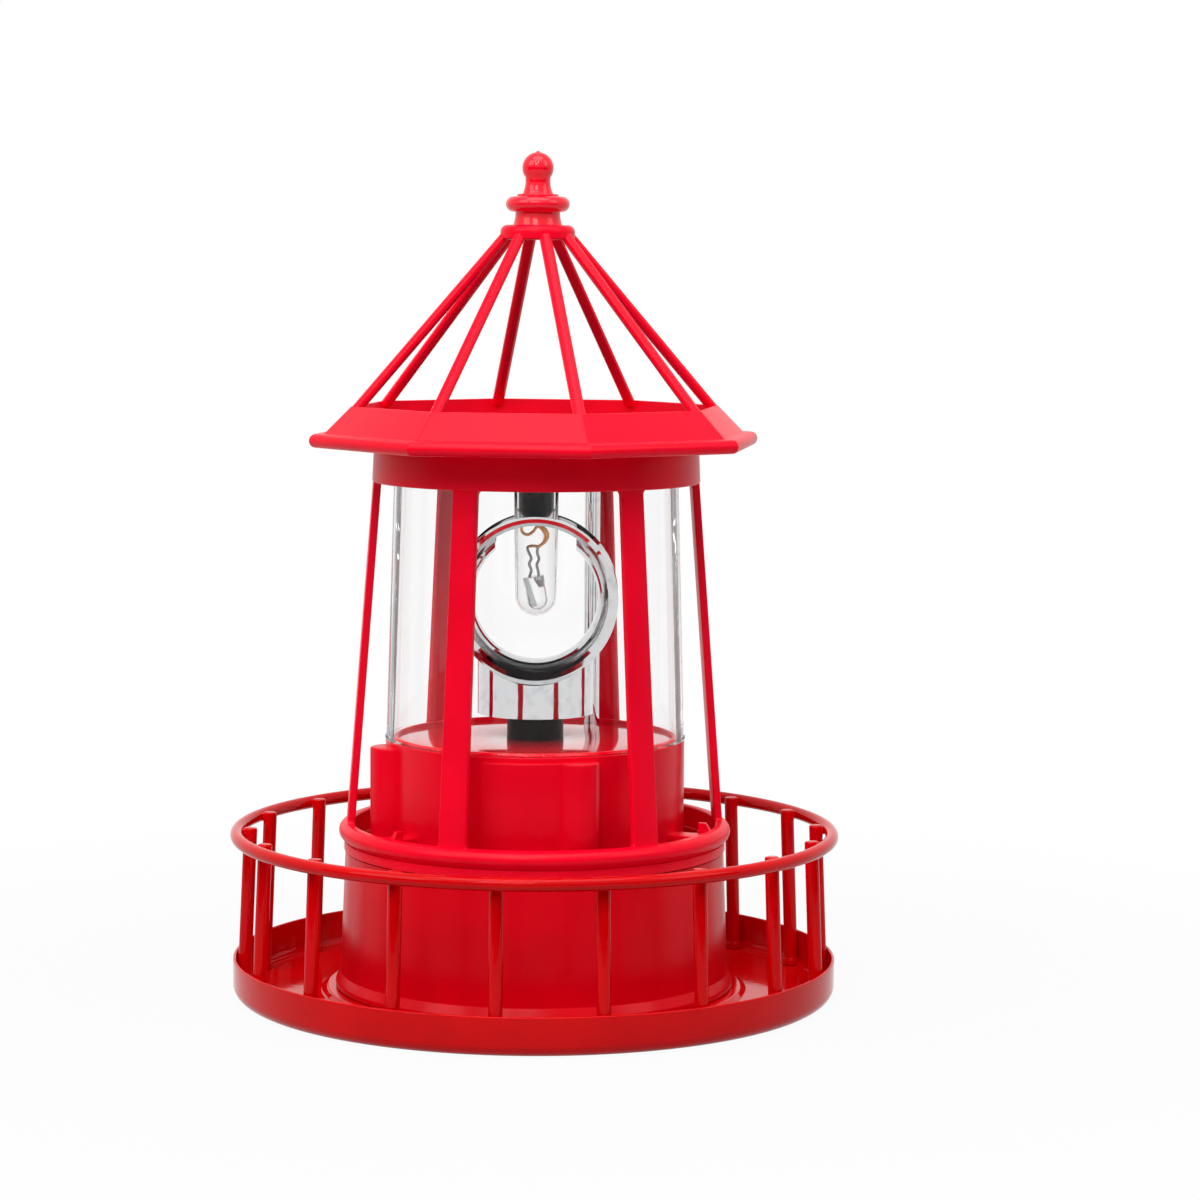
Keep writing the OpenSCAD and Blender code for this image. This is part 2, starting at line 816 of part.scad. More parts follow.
// Slide switch: a fixed case and a knob that reaches out through the cover
module switch_case() {
    color("dimgray")
    translate([switch_x + switch_travel / 2, switch_y, cover_top + seat_gap])
        difference() {
            translate([-switch_len / 2, -switch_w / 2, 0]) cube([switch_len, switch_w, switch_h]);
            translate([-slot_len / 2, -slot_w / 2, -over])
                cube([slot_len, slot_w, over + knob_in + knob_gap]);
        }
}

module switch_knob() {
    color("black")
    translate([switch_x - knob_len / 2, switch_y - knob_w / 2, cover_z - knob_out])
        cube([knob_len, knob_w, knob_out + cover_t + seat_gap + knob_in]);
}

// Upper body: wall, screw columns, front pad, bayonet lugs and the seat of the floor disc
module upper_body() {
    ledge_r = rim_in_r - ledge_w;
    wall_mid = body_in_r + body_wall / 2;
    color("red")
    difference() {
        union() {
            rotate_extrude()
                polygon([[body_in_r, deck_z], [body_r, deck_z], [body_r, body_top],
                    [rim_in_r + locate_w, body_top], [rim_in_r + locate_w, body_top + locate_h],
                    [rim_in_r, body_top + locate_h], [rim_in_r, disc_seat], [ledge_r, disc_seat],
                    [ledge_r, ledge_z], [body_in_r, ledge_z - ledge_w]]);
            difference() {
                for (a = column_turns) turned(a)
                    translate([0, -column_c, deck_z]) cylinder(r = column_r, h = body_h - column_drop);
                translate([0, 0, deck_z - over]) cylinder(r = body_in_r, h = body_h + 2 * over);
            }
            turned(front_pad_turn + front_pad_angle / 2)
                sector(wall_mid, body_r + front_pad_t, deck_z + front_pad_lift,
                    body_h - front_pad_drop - front_pad_lift, front_pad_angle);
            ring_of(lug_count, lug_turn)
                sector(wall_mid, lug_r, lug_z, lug_t, lug_angle);
            ring_of(stand_count, stand_turn)
                translate([-stand_w / 2, -wall_mid, plate_top])
                    cube([stand_w, wall_mid - stand_in_r, ledge_z + ledge_t / 2 - plate_top]);
        }
        for (a = column_turns) turned(a)
            translate([0, -column_screw_c, deck_z - over]) cylinder(r = screw_pilot_r, h = screw_bite + 2 * over);
        ring_of(stand_count, stand_turn)
            translate([0, -stand_screw_c, plate_top - over])
                cylinder(r = plate_screw_r + seat_gap, h = plate_screw_bite + over);
    }
}

module body_screws() {
    color("silver")
    for (a = column_turns) turned(a)
        translate([0, -column_screw_c, deck_z - deck_t - screw_head_h])
            screw_up(screw_r, screw_bite, screw_head_r, screw_head_h);
}

module floor_disc() {
    color("red")
    difference() {
        union() {
            translate([0, 0, disc_seat]) cylinder(r = disc_r, h = disc_t);
            translate([idler_x, idler_y, disc_seat - axle_boss_h]) cylinder(r = axle_boss_r, h = axle_boss_h);
        }
        translate([0, 0, disc_seat - over]) cylinder(r = spindle_r + run_gap, h = disc_t + 2 * over);
        translate([idler_x, idler_y, disc_seat - axle_boss_h - over])
            cylinder(r = axle_r + run_gap, h = axle_boss_h + over + disc_t / 2);
        translate([conduit_x, conduit_y, disc_seat - over])
            cylinder(r = loom_r + seat_gap, h = disc_t + 2 * over);
        translate([conduit_x, conduit_y, body_top - conduit_seat])
            cylinder(r = conduit_r + seat_gap, h = conduit_seat + over);
    }
}

// Gear plate: carries the spindle's lower bearing, the idler's axle and the motor
module gear_plate() {
    color("ivory")
    difference() {
        union() {
            translate([0, 0, plate_z]) cylinder(r = plate_r, h = plate_t);
            translate([0, 0, plate_z - bearing_boss_h]) cylinder(r = bearing_boss_r, h = bearing_boss_h);
        }
        translate([0, 0, plate_z - bearing_boss_h - over])
            cylinder(r = bearing_r + run_gap, h = bearing_boss_h + plate_t + 2 * over);
        translate([idler_x, idler_y, plate_z - over]) cylinder(r = axle_r + seat_gap / 2, h = plate_t + 2 * over);
        translate([motor_x, motor_y, plate_z - over]) cylinder(r = shaft_hole_r, h = plate_t + 2 * over);
        translate([motor_x, motor_y, plate_z - over])
            cylinder(r = motor_boss_r + seat_gap, h = motor_boss_h + over + seat_gap);
        translate([conduit_x, conduit_y, plate_z - over])
            cylinder(r = 2 * conduit_r, h = plate_t + 2 * over);
        ring_of(stand_count, stand_turn)
            translate([0, -stand_screw_c, plate_z - over])
                cylinder(r = plate_screw_r + seat_gap, h = plate_t + 2 * over);
    }
}

module plate_screws() {
    color("silver")
    ring_of(stand_count, stand_turn)
        translate([0, -stand_screw_c, plate_z - screw_head_h])
            screw_up(plate_screw_r, plate_t + plate_screw_bite - over, plate_screw_head_r, screw_head_h);
}

// Motor, pinion, compound idler and the spindle's gear
module motor() {
    can_z = plate_z - motor_gap - motor_len;
    color("lightgray")
    translate([motor_x, motor_y, 0])
        difference() {
            union() {
                translate([0, 0, can_z]) cylinder(r = motor_r, h = motor_len);
                translate([0, 0, can_z + motor_len]) cylinder(r = motor_boss_r, h = motor_boss_h);
            }
            translate([0, 0, can_z + motor_len - shaft_in - 2 * seat_gap])
                cylinder(r = shaft_r + run_gap, h = shaft_in + motor_boss_h + over);
        }
}

module motor_pinion() {
    shaft_z = plate_z - motor_gap - shaft_in;
    color("gold")
    translate([motor_x, motor_y, 0]) {
        translate([0, 0, pinion_z])
            rotate([0, 0, motor_turn + 180 + 180 / pinion_teeth]) gear(pinion_teeth, pinion_t);
        translate([0, 0, shaft_z]) cylinder(r = shaft_r, h = pinion_z + pinion_t - shaft_z);
    }
}

module idler_axle() {
    color("silver")
    translate([idler_x, idler_y, plate_z])
        cylinder(r = axle_r, h = disc_seat - plate_z);
}

module idler_gear() {
    color("white")
    translate([idler_x, idler_y, 0])
        difference() {
            union() {
                translate([0, 0, idler_z]) cylinder(r = idler_hub_r, h = idler_hub_t + idler_large_t);
                translate([0, 0, idler_large_z])
                    rotate([0, 0, motor_turn]) gear(idler_large_teeth, idler_large_t);
                translate([0, 0, idler_small_z])
                    rotate([0, 0, idler_turn + 180 + 180 / idler_small_teeth]) gear(idler_small_teeth, idler_small_t);
            }
            translate([0, 0, idler_z - over])
                cylinder(r = axle_r + run_gap, h = idler_hub_t + idler_large_t + idler_small_t + 2 * over);
        }
}

module spindle() {
    gear_top = spindle_gear_z + spindle_gear_t;
    foot_z = plate_z - bearing_boss_h + over;
    color("black") {
        translate([0, 0, spindle_gear_z]) rotate([0, 0, idler_turn]) gear(spindle_teeth, spindle_gear_t);
        rotate_extrude()
            polygon([[0, foot_z], [bearing_r, foot_z], [bearing_r, plate_top + hub_gap],
                [spindle_hub_r, plate_top + hub_gap], [spindle_hub_r, spindle_gear_z],
                [spindle_r, spindle_gear_z], [spindle_r, drum_z - spindle_bevel],
                [spindle_r - spindle_bevel, drum_z], [spigot_fit_r, drum_z],
                [spigot_fit_r, drum_z + spigot_fit_h], [0, drum_z + spigot_fit_h]]);
    }
}

// Reflector: a plated hourglass ring set in the saddle of a drum
module ring_turn() {
    translate([0, 0, ring_z]) rotate([90, 0, 0]) rotate_extrude() children();
}

module reflector() {
    throat = arc(flare_c, 0, flare_r, 180 + flare_angle, 180 - flare_angle, flare_steps);
    back = arc(flare_c, 0, back_flare_r, 180 - back_angle, 180 + back_angle, flare_steps);
    color("gainsboro") {
        difference() {
            ring_turn() polygon(concat(throat, [[ring_r, ring_half]], back, [[ring_r, -ring_half]]));
            translate([-notch_w / 2, -ring_half + notch_rim, ring_z])
                cube([notch_w, ring_w - 2 * notch_rim, ring_r + over]);
        }
        difference() {
            translate([0, 0, drum_z]) cylinder(r = drum_r, h = drum_cheek);
            ring_turn() polygon(concat([[0, -drum_r - over], [ring_r, -drum_r - over], [ring_r, -ring_half]],
                throat, [[ring_r, ring_half], [ring_r, drum_r + over], [0, drum_r + over]]));
            difference() {
                translate([0, 0, drum_z - over]) cylinder(r = drum_r - drum_wall, h = drum_hollow_h + over);
                translate([0, 0, drum_z - 2 * over]) cylinder(r = drum_boss_r, h = drum_hollow_h + 3 * over);
            }
            translate([0, 0, drum_z - over]) cylinder(r = spigot_fit_r + seat_gap / 2, h = spigot_fit_h + over + seat_gap);
        }
    }
}

// Clear tube over the beacon
module clear_tube() {
    z0 = body_top + seat_gap;
    z1 = cap_z;
    color([0.85, 0.93, 0.95, 0.35])
    rotate_extrude()
        polygon([[tube_foot_r - tube_wall, z0], [tube_foot_r + tube_lip, z0], [tube_foot_r, z0 + tube_lip_h],
            [tube_top_r, z1], [tube_top_r - tube_wall, z1]]);
}

// Solar unit that closes the tube under the open roof
module solar_holder() {
    skirt_z0 = holder_z - holder_drop;
    color("black")
    difference() {
        rotate_extrude()
            polygon([[0, holder_z], [holder_in_r, holder_z], [holder_in_r, skirt_z0], [holder_r, skirt_z0],
                [holder_r, panel_z + holder_rim_h], [panel_r + seat_gap, panel_z + holder_rim_h],
                [panel_r + seat_gap, panel_z], [0, panel_z]]);
        translate([conduit_x, conduit_y, holder_z - over])
            cylinder(r = loom_r + seat_gap, h = holder_t + 2 * over);
    }
}

module solar_panel() {
    color("midnightblue")
    translate([0, 0, panel_z + seat_gap]) cylinder(r = panel_r, h = panel_t);
}

// Bulb, its socket and the diode inside
module bulb_socket() {
    z0 = bulb_top - plug_len;
    color("dimgray")
    rotate_extrude()
        polygon([[0, z0], [plug_end_r, z0], [plug_r, z0 + plug_bevel], [plug_r, bulb_top + seat_gap],
            [bulb_r + seat_gap, bulb_top + seat_gap], [bulb_r + seat_gap, bulb_top - cup_h],
            [cup_r, bulb_top - cup_h], [cup_r, cap_z], [0, cap_z]]);
}

module bulb_glass() {
    color([0.9, 0.95, 1, 0.35])
    rotate_extrude()
        polygon(concat(
            arc(0, bulb_end_z, bulb_foot_r, -90, 0), [[bulb_r, bulb_top], [bulb_r - bulb_wall, bulb_top]],
            arc(0, bulb_end_z, bulb_foot_r - bulb_wall, 0, -90)
        ));
}

module led() {
    color([1, 1, 0.9, 0.6])
    translate([-led_shift, 0, led_foot_z]) rotate([0, led_lean, 0])
        rotate_extrude()
            polygon(concat(arc(0, led_r, led_r, -90, 0), [[led_r, led_len], [0, led_len]]));
}

module led_leads() {
    color("peru")
    for (i = [-1, 1]) translate([led_shift + i * lead_gap / 2, 0, lead_foot_z]) {
        cylinder(r = lead_r, h = loop_z - lead_foot_z);
        translate([0, 0, loop_z - lead_foot_z + loop_r])
            rotate([90, 0, 0]) rotate([0, 0, -i * 90]) rotate_extrude(angle = 180)
                translate([loop_r, 0]) circle(r = lead_r);
        translate([0, 0, loop_z - lead_foot_z + 2 * loop_r])
            cylinder(r = lead_r, h = lead_top - seat_gap - loop_z - 2 * loop_r);
    }
}

// Wire tube from the floor disc up to the solar unit
module conduit() {
    z0 = body_top - conduit_seat;
    color("silver")
    translate([conduit_x, conduit_y, z0])
        difference() {
            cylinder(r = conduit_r, h = cap_z - z0);
            translate([0, 0, -over]) cylinder(r = conduit_r - conduit_wall, h = cap_z - z0 + 2 * over);
        }
}

module conduit_wires() {
    z0 = disc_seat - loom_drop;
    color("darkslategray")
    translate([conduit_x, conduit_y, z0]) cylinder(r = loom_r, h = panel_z - z0);
}

// Cage: collar, flat legs with flared ends, beaded ring, bayonet tabs and their stops
module leg_plate() {
    f = leg_flare;
    wt = leg_top_w / 2;
    wf = leg_foot_w / 2;
    low = bead_r - leg_flare_sink;
    high = leg_len - (leg_top_z - collar_z) / cos(leg_lean) + leg_flare_sink;
    side = concat(
        [[wf + f, 0], [wf + f, low]],
        arc(wf + f, low + f, f, -90, -180, arc_steps / 2),
        arc(wt + f, high - f, f, 180, 90, arc_steps / 2),
        [[wt + f, leg_len]]
    );
    linear_extrude(height = leg_t)
        polygon(concat(side, [for (i = [len(side) - 1 : -1 : 0]) [-side[i][0], side[i][1]]]));
}

module cage() {
    color("red") {
        rotate_extrude()
            polygon([[collar_in_r, eave_z], [collar_r, eave_z], [collar_foot_r, collar_z],
                [collar_foot_r - collar_wall, collar_z]]);
        ring_of(leg_count, leg_turn)
            translate([0, -leg_foot_face + leg_t, bead_z])
                rotate([-leg_lean, 0, 0]) rotate([90, 0, 0]) leg_plate();
        rotate_extrude()
            polygon(concat(
                [[ring_in_r, skirt_z], [skirt_out_r, skirt_z], [skirt_out_r, bead_z - bead_r]],
                arc(bead_c_r, bead_z, bead_r, -bead_dip_angle, 90),
                [[ring_in_r, bead_z + bead_r]]
            ));
        ring_of(lug_count, lug_turn + (tab_angle - lug_angle) / 2)
            sector(tab_r, tab_reach, tab_z, tab_t, tab_angle);
        ring_of(lug_count, lug_turn + lug_angle / 2 + stop_gap_angle + stop_angle / 2) stop_fin();
    }
}

// The stop stands up from the tab beside the lug and narrows toward its tip
module stop_fin() {
    foot = tab_r + stop_inset;
    root = tab_reach - stop_inset;
    tip = foot + (root - foot) * stop_tip_share;
    top = tab_z + tab_t + stop_h;
    translate([stop_t / 2, 0, 0]) rotate([90, 0, -90])
        linear_extrude(height = stop_t)
            polygon([[foot, tab_z + stop_inset], [root, tab_z + stop_inset], [root, tab_z + tab_t],
                [tip, top], [foot, top]]);
}

// Eave: a roof skirt with a rounded edge, hollow below, and a round seat on the collar
module eave() {
    edge_z = eave_z + eave_edge_r;
    ledge_r = collar_r + eave_ledge_sink;
    low_z = eave_z + eave_ledge_sink;
    high_z = eave_z + eave_ledge_t - eave_ledge_sink;
    color("red")
    difference() {
        union() {
            rotate([0, 0, roof_turn - 90])
                rotate_extrude($fn = side_count)
                    polygon(concat(
                        [[collar_r, low_z], [eave_seat_r, low_z], [eave_pocket_r, low_z + eave_ledge_t],
                         [eave_pocket_r, eave_pocket_z], [eave_slope_r - eave_shift, eave_slope_z],
                         [eave_r - eave_edge_r, eave_z]],
                        arc(eave_r, edge_z, eave_edge_r, -90, 90),
                        [[eave_slope_r, eave_slope_z], [eave_top_r, eave_top_z], [eave_wall_r, eave_top_z],
                         [eave_wall_r, high_z], [collar_r, high_z]]
                    ));
            rotate_extrude()
                polygon([[ledge_in_r, eave_z - eave_spigot_h], [eave_spigot_r, eave_z - eave_spigot_h],
                    [eave_spigot_r, eave_z], [ledge_r, eave_z], [ledge_r, eave_z + eave_ledge_t],
                    [ledge_in_r, eave_z + eave_ledge_t]]);
        }
        rib_set(seat_gap, rib_bite + seat_gap);
    }
}

// A rib's section: a flat bar with bevelled edges
module rib_section(grow) {
    x = rib_w / 2 + grow;
    y = rib_t / 2 + grow;
    b = rib_bevel;
    polygon([[b - x, -y], [x - b, -y], [x, b - y], [x, y - b], [x - b, y], [b - x, y], [-x, y - b], [-x, b - y]]);
}

// Spire: eight flat ribs that rise from the corners of the eave to the hub
module rib_set(grow, bite) {
    foot_z = eave_top_z - bite;
    reach = (spire_h + rib_head_bite + bite) / sin(rib_rake) + 2 * rib_t;
    intersection() {
        ring_of(side_count, roof_turn)
            translate([0, -rib_foot_c, eave_top_z])
                rotate([rib_rake - 90, 0, 0])
                    translate([0, 0, -bite / sin(rib_rake) - rib_t])
                        linear_extrude(height = reach) rib_section(grow);
        translate([0, 0, foot_z]) cylinder(r = eave_r, h = hub_z + rib_head_bite - foot_z);
    }
}

module spire() {
    round_r = hub_h * hub_round_share;
    color("red")
    difference() {
        union() {
            rib_set(0, rib_bite);
            rotate_extrude()
                polygon(concat([[0, hub_z], [hub_r - hub_edge, hub_z], [hub_r, hub_z + hub_edge]],
                    arc(hub_r - round_r, hub_z + hub_h - round_r, round_r, 0, 90), [[0, hub_z + hub_h]]));
        }
        translate([0, 0, hub_z - rib_t]) cylinder(r = hub_bore_r, h = hub_h + 2 * rib_t);
    }
}
// Finial: turned ball, stem, step, ring moulding and neck, pegged into the hub
module finial() {
    color("red")
    rotate_extrude()
        polygon(concat(
            [[0, finial_z - peg_len], [hub_bore_r - seat_gap, finial_z - peg_len], [hub_bore_r - seat_gap, finial_z]],
            flare(neck_foot_r, finial_z, neck_waist_r, knop_z - knop_tube),
            arc(knop_r - knop_tube, knop_z, knop_tube, -90, 90),
            [[step_r, knop_z + knop_tube], [step_r, step_top]],
            flare(stem_foot_r, step_top, stem_waist_r, stem_waist_z),
            arc(0, ball_z, ball_r, ball_foot_angle, ball_top_angle),
            [[tip_r, finial_z + finial_h], [0, finial_z + finial_h]]
        ));
}

gallery_tray();
gallery_rail();
for (i = [0 : post_count - 1]) rail_post(i);
tray_screws();
base_housing();
bottom_cover();
cover_screws();
battery_door();
door_screw();
battery_cell();
contact_plate();
contact_spring();
circuit_board();
switch_case();
switch_knob();
upper_body();
body_screws();
gear_plate();
plate_screws();
motor();
motor_pinion();
idler_axle();
idler_gear();
spindle();
reflector();
floor_disc();
clear_tube();
solar_holder();
solar_panel();
bulb_socket();
bulb_glass();
led();
led_leads();
conduit();
conduit_wires();
cage();
eave();
spire();
finial();
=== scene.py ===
# Looks of the garden lighthouse ornament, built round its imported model.
# The frame is in metres: +Z up, origin at the bottom centre of the gallery tray, -Y toward
# the camera. Sizes of the pieces are in millimetres, outlines as (radius, height) or (x, y).
import math

import bmesh
import bpy
from mathutils import Matrix, Vector


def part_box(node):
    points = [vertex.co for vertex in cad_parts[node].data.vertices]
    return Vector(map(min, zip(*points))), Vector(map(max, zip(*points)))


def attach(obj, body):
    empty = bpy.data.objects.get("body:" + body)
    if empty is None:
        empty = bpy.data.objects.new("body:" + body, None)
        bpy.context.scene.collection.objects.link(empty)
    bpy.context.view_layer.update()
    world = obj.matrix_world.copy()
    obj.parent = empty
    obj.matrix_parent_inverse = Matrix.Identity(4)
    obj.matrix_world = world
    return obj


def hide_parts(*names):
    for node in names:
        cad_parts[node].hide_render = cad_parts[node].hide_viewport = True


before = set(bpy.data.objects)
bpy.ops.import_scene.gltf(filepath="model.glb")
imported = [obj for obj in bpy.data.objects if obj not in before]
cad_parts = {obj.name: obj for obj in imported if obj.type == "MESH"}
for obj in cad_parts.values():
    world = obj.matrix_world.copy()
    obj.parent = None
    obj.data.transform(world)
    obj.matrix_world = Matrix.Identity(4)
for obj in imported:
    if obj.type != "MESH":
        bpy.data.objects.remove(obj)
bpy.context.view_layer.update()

# Studio
# A white room: one long lens level with the roof's hub, soft boxes at the left, at the right,
# overhead and in front, and a thin strip light over the front of the tray. In metres.
MM = 0.001
scene = bpy.context.scene
scene.view_settings.view_transform = "Standard"

lens_place = (0.0159, -0.8455, 0.1818)
lens_down, lens_roll = 5.64, 0.39
focal_mm, sensor_mm = 102.8, 36
lens = bpy.data.cameras.new("lens")
lens.lens = focal_mm
lens.sensor_width = sensor_mm
lens.clip_start = 0.02
camera = bpy.data.objects.new("camera", lens)
scene.collection.objects.link(camera)
camera.matrix_world = (
    Matrix.Translation(lens_place)
    @ Matrix.Rotation(math.radians(90 - lens_down), 4, "X")
    @ Matrix.Rotation(math.radians(lens_roll), 4, "Z")
)
scene.camera = camera


class Wire:
    """An output of a node tree. Sums of wires and numbers add Math nodes."""

    def __init__(self, tree, socket=None):
        self.tree = tree
        self.socket = socket

    def node(self, kind, settings=None, inputs=None):
        """Adds a node: its settings first, then a value or a wire for each input."""
        made = self.tree.nodes.new(kind)
        for name, value in (settings or {}).items():
            setattr(made, name, value)
        for name, value in (inputs or {}).items():
            if isinstance(value, Wire):
                self.tree.links.new(value.socket, made.inputs[name])
            else:
                made.inputs[name].default_value = value
        return made

    def out(self, kind, output, settings=None, inputs=None):
        """Adds a node and gives one of its outputs."""
        return Wire(self.tree, self.node(kind, settings, inputs).outputs[output])

    def maths(self, operation, *terms):
        return self.out("ShaderNodeMath", 0, {"operation": operation}, dict(enumerate(terms)))

    def __add__(self, other):
        return self.maths("ADD", self, other)

    def __radd__(self, other):
        return self.maths("ADD", other, self)

    def __sub__(self, other):
        return self.maths("SUBTRACT", self, other)

    def __rsub__(self, other):
        return self.maths("SUBTRACT", other, self)

    def __mul__(self, other):
        return self.maths("MULTIPLY", self, other)

    def __rmul__(self, other):
        return self.maths("MULTIPLY", other, self)

    def __truediv__(self, other):
        return self.maths("DIVIDE", self, other)

    def between(self, low, high):
        """0 below low, 1 above high, and smooth between them."""
        return self.out("ShaderNodeMapRange", 0, {"interpolation_type": "SMOOTHSTEP"},
                        {"Value": self, "From Min": low, "From Max": high})

    def tint(self, colour, other):
        """The first colour where this wire is 0 and the other where it is 1."""
        return self.out("ShaderNodeMix", 2, {"data_type": "RGBA"}, {0: self, 6: colour, 7: other})

    def place(self, x=1.0, y=1.0, z=1.0):
        """The piece's own coordinates, in metres, each stretched by its factor."""
        here = self.out("ShaderNodeTexCoord", "Object")
        return self.out("ShaderNodeMapping", 0, None, {"Vector": here, "Scale": (x, y, z)})

    def along(self, axis):
        """The piece's own X, Y or Z, in metres."""
        return self.out("ShaderNodeSeparateXYZ", axis, None, {"Vector": self.place()})

    def noise(self, where, size, detail=3.0):
        """Noise from 0 to 1 with features of a size in mm."""
        return self.out("ShaderNodeTexNoise", 0, None, {
            "Vector": where, "Scale": 1 / (size * MM), "Detail": detail, "Roughness": 0.5})

    def bump(self, height, depth):
        """A normal with the height's relief, depth in mm."""
        return self.out("ShaderNodeBump", 0, None,
                        {"Height": height, "Distance": depth * MM, "Strength": 1.0})


def linear(red, green, blue):
    """A colour of 0 to 255 levels as the shader's linear colour."""
    levels = [level / 255 for level in (red, green, blue)]
    return tuple(((v + 0.055) / 1.055) ** 2.4 if v > 0.04045 else v / 12.92 for v in levels) + (1.0,)


def new_material(name):
    """An empty material and the wire that its nodes start from."""
    made = bpy.data.materials.new(name)
    made.use_nodes = True
    made.node_tree.nodes.clear()
    return made, Wire(made.node_tree)


def show(wire, shader):
    """Ends a tree with its output."""
    end = "ShaderNodeOutputWorld" if wire.tree == scene.world.node_tree else "ShaderNodeOutputMaterial"
    wire.node(end, None, {"Surface": shader})


def soft_box(name, place, aim_height, width, height, watts):
    """A rectangular lamp aimed at a height on the object's axis; clear pieces don't show it."""
    lamp = bpy.data.lights.new(name, "AREA")
    lamp.shape = "RECTANGLE"
    lamp.size = width
    lamp.size_y = height
    lamp.energy = watts
    box = bpy.data.objects.new(name, lamp)
    scene.collection.objects.link(box)
    box.location = place
    box.visible_transmission = False
    box.rotation_euler = (Vector((0, 0, aim_height)) - Vector(place)).to_track_quat("-Z", "Y").to_euler()


eave_height, hub_height = 0.14, 0.19
soft_box("soft_box_left", (-0.8, -0.5, 0.8), eave_height, 0.6, 0.7, 4.4)
soft_box("soft_box_right", (0.9, -0.35, 0.8), eave_height, 0.5, 0.7, 2.6)
soft_box("soft_box_top", (0.0, -0.25, 1.05), eave_height, 0.9, 0.7, 7.0)
soft_box("soft_box_front", (-0.15, -0.75, 0.62), hub_height, 0.32, 0.26, 1.7)
soft_box("strip_light", (-0.1, -0.55, 0.75), eave_height, 0.5, 0.014, 1.3)

# Background
# The white of the room shows to the eye, in what mirrors it and through clear pieces.
# Other rays meet the room at a plain level.
plain_level, white_level = 0.3, 1.0
world = scene.world or bpy.data.worlds.new("white_room")
scene.world = world
world.use_nodes = True
world.node_tree.nodes.clear()


def shows_background(w):
    """1 for camera, mirrored and transmitted rays, 0 for the rest."""
    rays = w.node("ShaderNodeLightPath").outputs
    seen = w.maths("MAXIMUM", Wire(w.tree, rays["Is Camera Ray"]), Wire(w.tree, rays["Is Glossy Ray"]))
    return w.maths("MAXIMUM", seen, Wire(w.tree, rays["Is Transmission Ray"]))


w = Wire(world.node_tree)
room = w.out("ShaderNodeBackground", 0, None, {"Color": (1.0, 1.0, 1.0, 1.0), "Strength": plain_level})
white = w.out("ShaderNodeBackground", 0, None, {"Color": (1.0, 1.0, 1.0, 1.0), "Strength": white_level})
show(w, w.out("ShaderNodeMixShader", 0, None, {0: shows_background(w), 1: room, 2: white}))

# Floor
# A round sheet of pale paper a hair under the tray. It glows white like the background,
# and the small share of plain paper left near the object takes its shadow.
floor_r, floor_drop, floor_corners = 0.44, 0.0002, 96
glow_near, glow_more, shade_from, shade_to = 0.95, 0.05, 0.1, 0.32
floor_mesh = bpy.data.meshes.new("floor")
bm = bmesh.new()
for i in range(floor_corners):
    turn = math.tau * i / floor_corners
    bm.verts.new((floor_r * math.cos(turn), floor_r * math.sin(turn), -floor_drop))
bm.faces.new(bm.verts)
bm.to_mesh(floor_mesh)
bm.free()
floor = bpy.data.objects.new("floor", floor_mesh)
scene.collection.objects.link(floor)
paper, w = new_material("pale_paper")
distance = w.out("ShaderNodeVectorMath", "Value", {"operation": "LENGTH"}, {0: w.place()})
fibre = w.noise(w.place(), 1.5)
paper_tone = fibre.tint((0.42, 0.42, 0.42, 1), (0.48, 0.48, 0.48, 1))
plain_paper = w.out("ShaderNodeBsdfDiffuse", 0, None, {"Color": paper_tone})
glow = w.out("ShaderNodeEmission", 0, None, {"Color": (1, 1, 1, 1), "Strength": white_level})
share = glow_near + glow_more * distance.between(shade_from, shade_to)
show(w, w.out("ShaderNodeMixShader", 0, None, {0: shows_background(w) * share, 1: plain_paper, 2: glow}))
floor_mesh.materials.append(paper)

# Dark card
# It stands in a half round behind the lens, so that the plating and the gloss have
# something dark to mirror. The camera and clear pieces don't show it.
card_r, card_h, card_half_turn, card_step = 0.95, 0.3, 80, 5
card_mesh = bpy.data.meshes.new("dark_card")
bm = bmesh.new()
columns = []
for degrees in range(-card_half_turn, card_half_turn + 1, card_step):
    turn = math.radians(degrees)
    columns.append([bm.verts.new((card_r * math.sin(turn), -card_r * math.cos(turn), z))
                    for z in (0.0, card_h)])
for left, right in zip(columns, columns[1:]):
    bm.faces.new((left[0], right[0], right[1], left[1]))
bm.to_mesh(card_mesh)
bm.free()
card = bpy.data.objects.new("dark_card", card_mesh)
scene.collection.objects.link(card)
card.visible_camera = False
card.visible_transmission = False
black_card, w = new_material("black_card")
show(w, w.out("ShaderNodeBsdfDiffuse", 0, None, {"Color": (0.02, 0.02, 0.02, 1)}))
card_mesh.materials.append(black_card)

# Gallery tray
# Pressed sheet steel: a raised seat for the lighthouse, a rounded bend and an upright
# rim with a rounded edge. Painted red, a little uneven in gloss.
tray_r, tray_h, sheet, bend_r, rim_round = 75, 9.6, 0.8, 3, 0.38
hole_r, seat_rise, seat_top_r, seat_foot_r, seat_shift = 40, 1.2, 51.3, 52.5, 0.4
seat_bend, seat_bend_out = 0.5, 0.9


